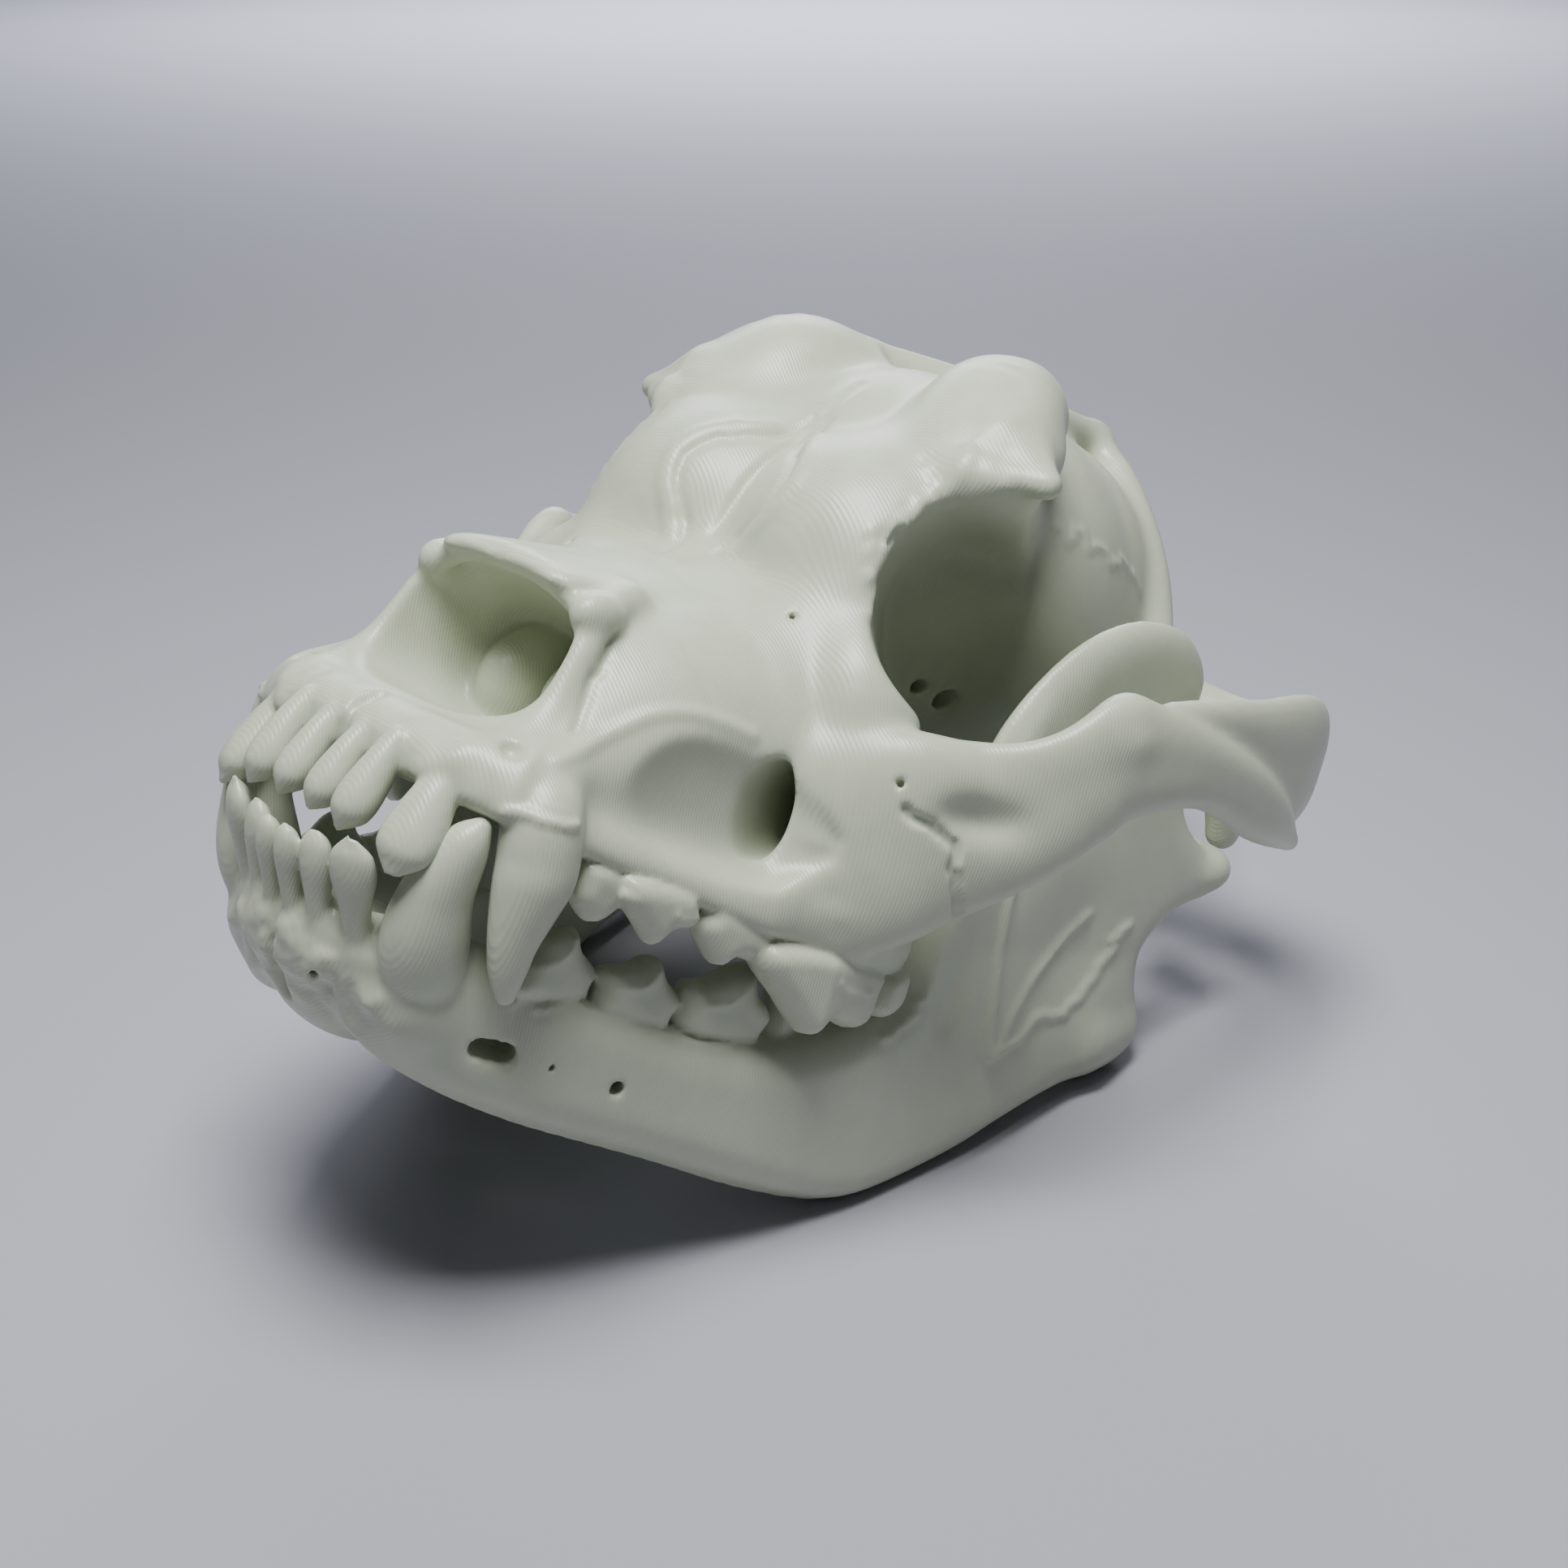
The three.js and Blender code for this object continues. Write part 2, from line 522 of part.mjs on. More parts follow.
const LOWER_TEETH = [
  { tip: [1.9, -1.2, -1.9], root: [2.6, 5, -14], long: 2, wide: 2.4 },
  { tip: [6.2, -0.5, -1.5], root: [6.6, 5.5, -14], long: 2.1, wide: 2.5 },
  { tip: [11.9, 0.3, -1.2], root: [11.4, 7, -14], long: 2.6, wide: 2.8 },
  { tip: [22.4, 11.6, 4.9], root: [16.4, 10, -17], long: 5.2, wide: 4.4, bulge: 0.8 },
  { tip: [24, 28.8, -8], root: [23.5, 29.5, -17], long: 4.6, wide: 2.6 },
  { tip: [28, 41.4, -10.8], root: [28, 42.5, -21], long: 5.2, wide: 2.8 },
  { tip: [32, 55.8, -10.8], root: [32, 56, -22], long: 5.8, wide: 3 },
  { tip: [32.4, 67, -11], root: [34.5, 68.5, -20], long: 6.5, wide: 3 },
];
const TOOTH_SIDES = 7;
const CROWN = [[0, 0.9], [0.42, 1], [0.78, 0.62], [1, 0.16]];

// One tooth: oval rings from the root to the tip, the long side along the tooth row
function tooth({ tip, root, long, wide, bulge = 0 }, side, rowDirection) {
  const along = unit(sub(tip, root));
  const lengthways = unit(sub(rowDirection, scale(along, dot(rowDirection, along))));
  const across = cross(along, lengthways);
  const points = [];
  CROWN.forEach(([t, width]) => {
    const middle = add(tip.map((v, i) => mix(root[i], v, t)), scale(lengthways, -4 * bulge * t * (1 - t)));
    for (let n = 0; n < TOOTH_SIDES; n += 1) {
      const angle = (2 * Math.PI * n) / TOOTH_SIDES;
      const fore = scale(lengthways, long * width * Math.cos(angle));
      const aside = scale(across, wide * width * Math.sin(angle));
      const [x, y, z] = add(middle, add(fore, aside));
      points.push(side * x, y, z);
    }
  });
  const triangles = [];
  const face = (a, b, c) => triangles.push(...(side > 0 ? [a, b, c] : [a, c, b]));
  for (let ring = 0; ring < CROWN.length - 1; ring += 1) {
    for (let n = 0; n < TOOTH_SIDES; n += 1) {
      const [a, b] = [ring * TOOTH_SIDES + n, ring * TOOTH_SIDES + ((n + 1) % TOOTH_SIDES)];
      face(a, b, b + TOOTH_SIDES);
      face(a, b + TOOTH_SIDES, a + TOOTH_SIDES);
    }
  }
  const top = (CROWN.length - 1) * TOOTH_SIDES;
  for (let n = 1; n < TOOTH_SIDES - 1; n += 1) {
    face(0, n + 1, n);
    face(top, top + n, top + n + 1);
  }
  const geometry = new THREE.BufferGeometry();
  geometry.setAttribute('position', new THREE.Float32BufferAttribute(points, 3));
  geometry.setIndex(triangles);
  return geometry;
}

// A jaw's teeth on both sides, each set in its bone
function withTeeth(bone, rows) {
  return rows.reduce((jaw, row, i) => {
    const [before, after] = [rows[Math.max(i - 1, 0)], rows[Math.min(i + 1, rows.length - 1)]];
    const rowDirection = unit(sub(after.root, before.root));
    return [1, -1].reduce((held, side) => held.add(solid(tooth(row, side, rowDirection))), jaw);
  }, bone);
}

// Flat slab across a direction, used for the thin cuts and for the floor
function slab(middle, normal, thickness) {
  const geometry = new THREE.BoxGeometry(400, 400, thickness);
  const facing = new THREE.Vector3(...unit(normal));
  const quaternion = new THREE.Quaternion().setFromUnitVectors(new THREE.Vector3(...UP), facing);
  geometry.applyQuaternion(quaternion);
  geometry.translate(...middle);
  return solid(geometry);
}

muzzleBones();
foreheadBones();
cheekBones();
braincaseBones();
faceOpenings();
jawBones();

const wholeUpper = withTeeth(largest(solid(skin(upper, SKULL_ROOM, SKULL_MESH))), UPPER_TEETH);
const wholeLower = withTeeth(largest(solid(skin(lower, JAW_ROOM, JAW_MESH))), LOWER_TEETH);

// Thin cuts between the sub-parts: behind the muzzle, at each cheek arch's two roots and down the chin
const MUZZLE_BACK = { middle: [0, 72, 55], normal: [0, 0.96, 0.28] };
const ARCH_ROOT = { middle: [46, 68, 20], normal: [1, 0.0976, 0] };
const mirror = ([x, y, z]) => [-x, y, z];
const archCuts = [ARCH_ROOT, { middle: mirror(ARCH_ROOT.middle), normal: mirror(ARCH_ROOT.normal) }];

const HALF_SPACE = 200;
const beyond = ({ middle, normal }, side) => {
  const offset = side * (HALF_SPACE / 2 + PART_GAP / 2);
  return slab(add(middle, scale(unit(normal), offset)), normal, HALF_SPACE);
};

const pitch = THREE.MathUtils.degToRad(REST_PITCH);
const floorNormal = [0, -Math.sin(pitch), Math.cos(pitch)];
const underFloor = slab(scale(floorNormal, -REST_HEIGHT - HALF_SPACE / 2), floorNormal, HALF_SPACE);

const middleUpper = archCuts.reduce((body, cut) => body.intersect(beyond(cut, -1)), wholeUpper);
const jaw = wholeLower.subtract(underFloor);
const chin = { middle: [0, 0, 0], normal: [1, 0, 0] };
const bodies = {
  muzzle: middleUpper.intersect(beyond(MUZZLE_BACK, -1)),
  braincase: middleUpper.intersect(beyond(MUZZLE_BACK, 1)),
  cheek_arch_left: wholeUpper.intersect(beyond(archCuts[0], 1)),
  cheek_arch_right: wholeUpper.intersect(beyond(archCuts[1], 1)),
  mandible_left: jaw.intersect(beyond(chin, 1)),
  mandible_right: jaw.intersect(beyond(chin, -1)),
};

const posed = new THREE.Group();
posed.rotation.x = -pitch;
for (const [name, body] of Object.entries(bodies)) {
  const mesh = new THREE.Mesh(surface(largest(body)), new THREE.MeshStandardMaterial(PLASTIC));
  mesh.name = name;
  posed.add(mesh);
}

const skull = new THREE.Group();
skull.add(posed);
skull.updateMatrixWorld(true);
const reach = new THREE.Box3().setFromObject(skull, true);
posed.position.set(0, -(reach.min.y + reach.max.y) / 2, -reach.min.z);
skull.updateMatrixWorld(true);

export default skull;
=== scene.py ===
import math

import bpy
import numpy as np
import openvdb
from mathutils import Matrix, Vector


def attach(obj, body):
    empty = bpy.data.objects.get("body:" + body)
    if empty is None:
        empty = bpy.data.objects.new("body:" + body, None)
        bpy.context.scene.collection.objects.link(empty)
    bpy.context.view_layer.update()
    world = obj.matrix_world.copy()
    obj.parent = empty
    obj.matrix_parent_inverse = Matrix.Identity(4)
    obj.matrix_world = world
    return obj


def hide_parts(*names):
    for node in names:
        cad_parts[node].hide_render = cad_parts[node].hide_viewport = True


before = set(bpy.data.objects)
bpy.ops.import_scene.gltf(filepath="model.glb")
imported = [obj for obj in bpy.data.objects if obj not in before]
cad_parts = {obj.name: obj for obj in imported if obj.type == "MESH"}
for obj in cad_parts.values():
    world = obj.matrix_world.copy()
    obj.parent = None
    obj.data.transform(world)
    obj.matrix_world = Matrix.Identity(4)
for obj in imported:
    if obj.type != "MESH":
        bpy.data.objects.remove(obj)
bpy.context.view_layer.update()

# Upper skull, bones. The real piece is one print in pale PLA, from the nose to the crest of the nape,
# with the cheek arches and teeth in one with it. It lies loose on the lower jaw. All its forms are laid
# out in the skull's own frame, in millimetres: x to the animal's left, y back from the incisors, z up.
COARSER = 1.0
UP = (0, 0, 1)


def grid_axis(stops):
    """Places along one axis, from stops of (place, step there): fine where the teeth are."""
    places = [stops[0][0]]
    while places[-1] < stops[-1][0]:
        places.append(places[-1] + COARSER * stop_value(stops, places[-1]))
    return np.array(places, np.float32)


def stop_value(stops, at):
    """Values straight between stops of (at, value)."""
    return np.interp(at, [stop[0] for stop in stops], [stop[1] for stop in stops])


def soft_least(a, b, blend):
    """The lesser of two distances, with the corner between them rounded off."""
    round_off = np.maximum(blend - np.abs(a - b), 0) / blend
    return np.minimum(a, b) - round_off ** 3 * (blend / 6)


class Clay:
    """One side of a bone, x >= 0: signed distances on a grid, with forms joined on and carved out."""

    EMPTY = 30.0         # distance everywhere before the first form is joined
    MARGIN = 2           # worked on round a form, past its blend
    PROBE = 0.7          # step for reading the slope of the surface
    SETTLE_ROUNDS = 8
    LINE_STEP = 1.2      # between the points of a raised line or groove
    PIT_LEAD = 2         # start of a pit's cut, outside the surface
    PIT_TAPER = 0.7      # radius at the pit's bottom to that at its mouth
    KNOTS = 16           # each way in the noise of a rough patch
    FADE = 0.4           # share of a rough patch's least radius over which it fades out

    def __init__(self, *stops):
        self.axes = [grid_axis(axis_stops) for axis_stops in stops]
        self.far = np.full([len(axis) for axis in self.axes], self.EMPTY, np.float32)

    def block(self, form, margin):
        """The grid's cells round a form, with their places."""
        cells = []
        for axis, low, high in zip(self.axes, form[0], form[1]):
            cells.append(slice(np.searchsorted(axis, low - margin), np.searchsorted(axis, high + margin)))
        x, y, z = (axis[cell] for axis, cell in zip(self.axes, cells))
        return tuple(cells), x[:, None, None], y[None, :, None], z[None, None, :]

    def press(self, form, blend, sign):
        """A form joined on (sign 1) or carved out (sign -1), with the edge between rounded by the blend."""
        cells, x, y, z = self.block(form, blend + self.MARGIN)
        if self.far[cells].size:
            self.far[cells] = sign * soft_least(sign * self.far[cells], form[2](x, y, z), blend)

    def join(self, form, blend):
        self.press(form, blend, 1)

    def carve(self, form, blend):
        self.press(form, blend, -1)

    def rub(self, times):
        """Small steps and ripples rubbed off the whole surface."""
        for axis in (0, 1, 2) * times:
            near = np.moveaxis(self.far, axis, 0)
            near[1:-1] = 0.25 * near[:-2] + 0.5 * near[1:-1] + 0.25 * near[2:]

    def sample(self, points):
        """Distances at points of either side, straight between the grid's own."""
        points = np.abs(points) * (1, 0, 0) + np.asarray(points) * (0, 1, 1)
        at = [np.interp(points[:, i], axis, np.arange(len(axis))) for i, axis in enumerate(self.axes)]
        cell = [np.minimum(a.astype(int), len(axis) - 2) for a, axis in zip(at, self.axes)]
        value = 0
        for corner in np.ndindex(2, 2, 2):
            weight = 1
            for a, c, k in zip(at, cell, corner):
                weight = weight * (a - c if k else 1 - a + c)
            value = value + weight * self.far[tuple(c + k for c, k in zip(cell, corner))]
        return value

    def slope(self, points):
        """The way out of the bone at points, of length 1."""
        steps = self.PROBE * np.eye(3)
        rise = np.stack([self.sample(points + step) - self.sample(points - step) for step in steps], 1)
        return rise / np.maximum(np.linalg.norm(rise, axis=1, keepdims=True), 1e-6)

    def settle(self, points):
        """Points moved onto the surface, with the way out of it at each."""
        points = np.array(points, float)
        for _ in range(self.SETTLE_ROUNDS):
            points = points - self.sample(points)[:, None] * self.slope(points)
        return points, self.slope(points)

    def line(self, rows, radius, height, blend, wander=0.0, seed=0):
        """Raised line (height > 0) or groove (height < 0) along the surface under the given points."""
        length = np.linalg.norm(np.diff(rows, axis=0), axis=1).sum()
        count = max(int(length / self.LINE_STEP), 3)
        path, out = self.settle(smooth(rows, count))
        shake = np.random.default_rng(seed).normal(0, wander, path.shape)
        path, out = self.settle(path + shake)
        sink = abs(height) - radius
        centres = path + out * (sink if height > 0 else -sink)
        form = gather([rod(a, b, radius, radius) for a, b in zip(centres[:-1], centres[1:])])
        self.press(form, blend, 1 if height > 0 else -1)

    def pit(self, mouth, inward, radius, depth, blend):
        """Round hole from a point on the surface, along a direction into the bone."""
        start = self.settle([mouth])[0][0]
        inward = np.array(inward, float) / np.linalg.norm(inward)
        lead, bottom = start - self.PIT_LEAD * inward, start + depth * inward
        self.carve(rod(lead, bottom, radius, self.PIT_TAPER * radius), blend)

    def roughen(self, middle, radii, depth, grain, seed):
        """Uneven skin inside an egg-shaped patch, fading out to its edge."""
        form = egg(middle, radii)
        cells, x, y, z = self.block(form, 0)
        lattice = np.random.default_rng(seed).uniform(-1, 1, (self.KNOTS,) * 3)
        place = [axis / grain + 40 for axis in np.broadcast_arrays(x, y, z)]
        whole = [np.floor(p).astype(int) for p in place]
        part = [p - w for p, w in zip(place, whole)]
        part = [t * t * (3 - 2 * t) for t in part]
        noise = 0
        for corner in np.ndindex(2, 2, 2):
            weight = 1
            for t, c in zip(part, corner):
                weight = weight * (t if c else 1 - t)
            noise = noise + weight * lattice[tuple((w + c) % self.KNOTS for w, c in zip(whole, corner))]
        inside = np.clip(-form[2](x, y, z) / (self.FADE * min(radii)), 0, 1)
        self.far[cells] += (depth * inside * noise).astype(np.float32)

    def surface(self, name):
        """Closed mesh of both sides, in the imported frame, in metres."""
        both = np.concatenate([self.far[:0:-1], self.far], 0)
        grid = openvdb.FloatGrid(background=self.EMPTY)
        grid.copyFromArray(np.ascontiguousarray(both))
        points, triangles, quads = grid.convertToPolygons(0.0, 0.0)
        x_axis = np.concatenate([-self.axes[0][:0:-1], self.axes[0]])
        axes = [x_axis, *self.axes[1:]]
        places = [np.interp(points[:, i], np.arange(len(axis)), axis) for i, axis in enumerate(axes)]
        faces = [tuple(face[::-1]) for face in quads.tolist() + triangles.tolist()]
        mesh = bpy.data.meshes.new(name)
        mesh.from_pydata(to_frame(np.stack(places, 1)).tolist(), [], faces)
        mesh.polygons.foreach_set("use_smooth", [True] * len(faces))
        piece = bpy.data.objects.new(name, mesh)
        bpy.context.scene.collection.objects.link(piece)
        return piece


# The skull rests tipped nose up on the jaw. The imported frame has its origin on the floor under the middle
# of the part's box, so the incisor tips stand this far forward of it and above it.
REST_PITCH = math.radians(22.6)
TIPS_FORWARD = 83.5
TIPS_ABOVE = 73.2
MM = 0.001


def to_frame(points):
    x, y, z = np.asarray(points, float).T
    c, s = math.cos(REST_PITCH), math.sin(REST_PITCH)
    return np.stack([x, c * y + s * z - TIPS_FORWARD, c * z - s * y + TIPS_ABOVE], 1) * MM


def smooth(rows, count, closed=False):
    """Smooth curve through rows of numbers, sampled at even steps."""
    rows = np.array(rows, float)
    if closed:
        padded = np.vstack([rows[-1], rows, rows[:2]])
        at = np.linspace(0, len(rows), count, endpoint=False)
    else:
        padded = np.vstack([2 * rows[0] - rows[1], rows, 2 * rows[-1] - rows[-2]])
        at = np.linspace(0, len(rows) - 1, count)
    i = np.minimum(at.astype(int), len(padded) - 4)
    t = (at - i)[:, None]
    a, b, c, d = (padded[i + k] for k in range(4))
    return b + 0.5 * t * (c - a + t * (2 * a - 5 * b + 4 * c - d + t * (3 * (b - c) + d - a)))


def turn(degrees):
    rx, ry, rz = (math.radians(angle) for angle in degrees)
    about_x, about_y = Matrix.Rotation(rx, 3, "X"), Matrix.Rotation(ry, 3, "Y")
    return np.array(Matrix.Rotation(rz, 3, "Z") @ about_y @ about_x)


def egg(middle, radii, tilt=(0, 0, 0)):
    """Egg with three radii, turned about its middle."""
    middle, radii = np.array(middle, float), np.array(radii, float)
    axes = turn(tilt)
    reach = np.abs(axes) @ radii

    def distance(x, y, z):
        near = 0
        slope = 1e-9
        for k in range(3):
            part = (axes[0, k] * (x - middle[0]) + axes[1, k] * (y - middle[1])
                    + axes[2, k] * (z - middle[2]))
            near = near + (part / radii[k]) ** 2
            slope = slope + (part / radii[k] ** 2) ** 2
        near = np.sqrt(near)
        return near * (near - 1) / np.sqrt(slope)

    return middle - reach, middle + reach, distance


def rod(start, end, start_radius, end_radius):
    """Straight round rod, thicker at one end than at the other."""
    start, end = np.array(start, float), np.array(end, float)
    along = end - start
    square = along @ along

    def distance(x, y, z):
        p = (x - start[0], y - start[1], z - start[2])
        t = np.clip((p[0] * along[0] + p[1] * along[1] + p[2] * along[2]) / square, 0, 1)
        off = np.sqrt(sum((p[k] - t * along[k]) ** 2 for k in range(3)))
        return off - (start_radius + (end_radius - start_radius) * t)

    low = np.minimum(start - start_radius, end - end_radius)
    high = np.maximum(start + start_radius, end + end_radius)
    return low, high, distance


def gather(forms, blend=0.001):
    """Several forms taken as one, melted into each other by the blend."""
    low = np.min([form[0] for form in forms], axis=0)
    high = np.max([form[1] for form in forms], axis=0)

    def distance(x, y, z):
        least = forms[0][2](x, y, z)
        for form in forms[1:]:
            least = soft_least(least, form[2](x, y, z), blend)
        return least

    return low, high, distance


def bent_rod(rows, count=None):
    """Bent round rod through rows of x, y, z and radius."""
    line = smooth(rows, count or 3 * len(rows))
    return gather([rod(a[:3], b[:3], a[3], b[3]) for a, b in zip(line[:-1], line[1:])])


def bar_length(start, end):
    """One straight length of a bar, between rows of x, y, z, half height, half thickness, up and power."""
    along = end[:3] - start[:3]
    square = along @ along
    t = along / math.sqrt(square)
    up = start[5:8] + end[5:8]
    up = up - t * (up @ t)
    up = up / np.linalg.norm(up)
    side = np.cross(t, up)
    power = start[8]
    reach = max(start[3], start[4], end[3], end[4])

    def distance(x, y, z):
        p = [x - start[0], y - start[1], z - start[2]]
        s = np.clip((p[0] * along[0] + p[1] * along[1] + p[2] * along[2]) / square, 0, 1)
        p = [p[k] - s * along[k] for k in range(3)]
        high, wide, over = (p[0] * v[0] + p[1] * v[1] + p[2] * v[2] for v in (up, side, t))
        tall = start[3] + (end[3] - start[3]) * s
        thick = start[4] + (end[4] - start[4]) * s
        ratio = ((np.abs(high) / tall) ** power + (np.abs(wide) / thick) ** power) ** (1 / power)
        skin = (ratio - 1) * np.sqrt(high ** 2 + wide ** 2) / np.maximum(ratio, 1e-3)
        capped = np.sqrt(np.maximum(skin, 0) ** 2 + over ** 2) + np.minimum(skin, 0)
        return np.where(np.abs(over) > 1e-3, capped, skin)

    return np.minimum(start[:3], end[:3]) - reach, np.maximum(start[:3], end[:3]) + reach, distance


def bar(rows, count, ups=None, power=2.0):
    """Bent bar with an oval section through rows of x, y, z, half height along up and half thickness."""
    ups = ups or [UP] * len(rows)
    line = smooth([[*row, *up, power] for row, up in zip(rows, ups)], count)
    return gather([bar_length(a, b) for a, b in zip(line[:-1], line[1:])])


def below(height, slope, back_limit):
    """Everything under a plane that slopes along the skull, in front of a limit."""
    square = math.hypot(1, slope)
    past_all, past_palate = 100, 40

    def distance(x, y, z):
        return (z - height - slope * y) / square + 0 * x

    return (-past_all,) * 3, (past_all, back_limit, past_palate), distance


skull = Clay([(0, 0.5), (46, 0.5), (52, 0.75), (74, 0.75)],
             [(-5, 0.45), (70, 0.45), (85, 0.75), (176, 0.75)],
             [(-26, 0.5), (14, 0.5), (30, 0.7), (88, 0.7)])

# Muzzle: the upper jaw's hull, the nasal roof, the bone that holds the incisors, the side of the nose
# opening and the swollen canine roots. A bar's rows are x, y, z, half height and half thickness, a bent
# rod's are x, y, z and radius, and the last number of each join or cut is its blend.
jaw_hull = [(0, 13, 5.5, 8, 21), (0, 24, 8, 15, 26), (0, 38, 10, 24.5, 32), (0, 54, 9, 28, 35.5),
            (0, 70, 12, 30, 36)]
skull.join(bar(jaw_hull, 44, power=2.2), 4)
nasal_roof = [(0, 25, 33.6, 2.6, 13.5), (0, 32, 33.4, 3, 13.5), (0, 44, 32.5, 4.5, 12.5),
              (0, 58, 32.5, 6, 12), (0, 68, 37, 8, 11), (0, 78, 47, 9, 10)]
skull.join(bar(nasal_roof, 32), 3)
incisor_bone = [(0, 9.8, 9.3, 5.6, 4.6), (9, 9.8, 9.3, 5.6, 4.6), (16.5, 12, 9.3, 5.6, 4.8),
                (22, 16, 8.6, 6, 5)]
skull.join(bar(incisor_bone, 24, [(0, 0.5, 1)] * len(incisor_bone)), 4)
nose_side = [(17.5, 13.5, 11, 2.8), (17.5, 22, 17.6, 2.6), (15, 28.5, 29.5, 2.8), (12, 36, 32.5, 3)]
skull.join(bent_rod(nose_side), 2.5)
canine_root = [(24.6, 17.4, 5.5, 5.4), (23.2, 19.5, 10.5, 4), (22, 23, 14, 2)]
skull.join(bent_rod(canine_root), 7)

# Forehead: a sloping ridge on each side with a shallow valley between, scooped out behind for the temples
forehead = [(20, 57, 22, 8, 9), (20.5, 66, 33, 9, 10), (20.5, 75, 44.5, 9, 11), (20.5, 83, 56.5, 9, 11.5),
            (20.5, 93, 69.3, 9.5, 11), (15, 105, 70, 7.5, 8.5)]
forehead_ups = [(0.2, -0.9, 0.4), (0.25, -0.75, 0.6), (0.2, -0.7, 0.7), (0.1, -0.6, 0.8), (0, -0.3, 1),
                (0, 0.2, 1)]
skull.join(bar(forehead, 40, forehead_ups), 6)
skull.join(egg((0, 103, 50), (22, 28, 25)), 8)  # core behind the forehead
skull.join(egg((14, 84, 44), (22, 24, 20)), 6)  # body of the forehead
socket_front = [(22, 72, 44, 9), (24.2, 69.4, 34.4, 9), (31, 65, 26.5, 9), (33.5, 65.4, 13, 9)]
skull.join(bent_rod(socket_front, 20), 4)
skull.carve(egg((51, 113, 45), (28, 28, 41)), 4)  # hollow of the temple

# Cheek arch: the cheekbone from its root on the muzzle, laid over the bar that comes forward from the
# temple, with a knob on its upper edge and the stop behind the jaw's joint
cheekbone = [(27, 55, 6, 16, 6), (36, 60, 8, 16, 6.5), (44, 66, 12, 14.5, 5.6),
             (50, 74.5, 16.3, 11.7, 4.8), (56, 81.5, 24, 10.6, 4), (60, 89, 28.6, 9.2, 3.6),
             (64.3, 105, 29, 5.6, 3.2), (65.5, 124, 24.2, 5, 3), (63.3, 143, 18.8, 1.6, 1.8)]
skull.join(bar(cheekbone, 60, power=2.5), 3)
skull.join(rod((59.5, 88, 32), (59.2, 87.5, 34.6), 4, 3), 3)  # knob on the upper edge
temple_bar = [(60.5, 95, 36, 1.8, 1.6), (62.3, 108, 35.3, 4.4, 2.6), (62.8, 124, 32, 9.5, 3.2),
              (61.5, 138, 31.5, 11, 4), (56.5, 148, 30.5, 10.5, 4.8), (45, 152.5, 29, 9, 5.5),
              (30, 147, 31, 9, 6)]
skull.join(bar(temple_bar, 50, power=2.5), 1.2)
skull.join(rod((47, 153, 21), (46.5, 154.5, 15), 4.5, 3), 4)  # stop behind the jaw's joint

# Eye socket, one round cut through the forehead's side and the cheekbone
skull.carve(rod((57.5, 54.3, 50.4), (27.3, 98.3, 36.6), 20, 16), 2)

# Braincase with the brow's hooks, the lines of the temples, the crest of the nape, and its base
skull.join(egg((0, 120, 43), (29.7, 37.5, 32)), 5)  # dome of the braincase
skull.join(egg((0, 102, 42), (21, 24, 25)), 6)  # its narrow front
skull.join(egg((27.6, 85.3, 64.5), (9, 11.2, 5), (29.4, 28.5, 0)), 6)  # swelling of the brow
skull.join(gather([rod((30, 84, 65.5), (39.7, 83, 61.6), 4.5, 1.2),
                   rod((30, 77, 60.5), (39.5, 82.3, 61.6), 2.4, 1.2),
                   rod((28.5, 88.5, 69.5), (39.5, 83.5, 62), 2.6, 1.2)], 4), 5)  # hook of the brow
skull.join(rod((30, 86, 60), (21, 104, 56.5), 4.2, 5.2), 7)  # root of the brow, behind the eye socket
temple_line = [(28, 90.5, 70.5, 2.2), (24, 95, 73.5, 2.5), (16, 107, 76, 2.5), (5, 124, 76, 2.5),
               (0, 135, 75.5, 2.5)]
skull.join(bent_rod(temple_line), 6)
skull.join(rod((0, 130, 75.5), (0, 155, 74), 2.5, 3), 5)  # crest along the top
skull.join(egg((0, 141, 45), (25, 14, 27)), 6)  # back of the braincase
nape_crest = [(0, 154, 73.5, 2.5), (8.5, 153, 69, 2.5), (16.5, 152, 61, 2.5), (23, 150.5, 52, 2.5),
              (28.5, 148.5, 40, 3), (33, 146, 31, 4)]
skull.join(bent_rod(nape_crest), 6)
skull.join(egg((0, 148, 38), (26, 9, 30)), 6)  # plate of the nape
skull.join(egg((10.5, 160, 19), (7.5, 8, 8.5), (0, 0, 20)), 3)  # knuckle that the neck turns on
skull.join(egg((0, 126, 16), (19, 36, 10)), 6)  # base
skull.join(egg((19, 138, 8), (9, 12.5, 9)), 3)  # ear bulla
skull.join(rod((26, 151, 22), (26, 152.5, 7), 5, 2.5), 4)  # process behind the ear
skull.carve(egg((0, 168, 24), (7.5, 14, 6.5)), 2)  # dent where the spinal cord would enter

# Tooth line, the hollow on the side of the muzzle with its nerve hole, the palate, and the nose opening
# with a swelling for its scrolled bones and the thick front edge of the nasal bones above it
skull.join(egg((34, 62, -2), (9.5, 20, 9), (-15, 0, -14)), 5)  # bone over the largest cheek tooth
skull.carve(egg((32.6, 24, 8.5), (4, 9, 6.5), (0, 0, -8)), 4)  # hollow behind the canine
muzzle_hollow = [(31, 20, 9, 1.5, 1), (32, 25, 10, 6, 3.6), (33, 32, 11, 10.5, 5.5),
                 (35, 40, 11, 11, 5.5), (38.5, 50, 9.5, 8, 5.5)]
skull.carve(bar(muzzle_hollow, 24, power=2.3), 1.5)
nerve_hole = [(33.5, 43, 11, 5.5, 1.9), (32, 51.5, 11, 7.3, 2.4), (28, 68, 12, 4, 2.4)]
skull.carve(bar(nerve_hole, 12), 0.8)
skull.carve(egg((58.5, 66, 17), (9, 9, 4), (0, 0, 35)), 4)  # dent on the cheekbone
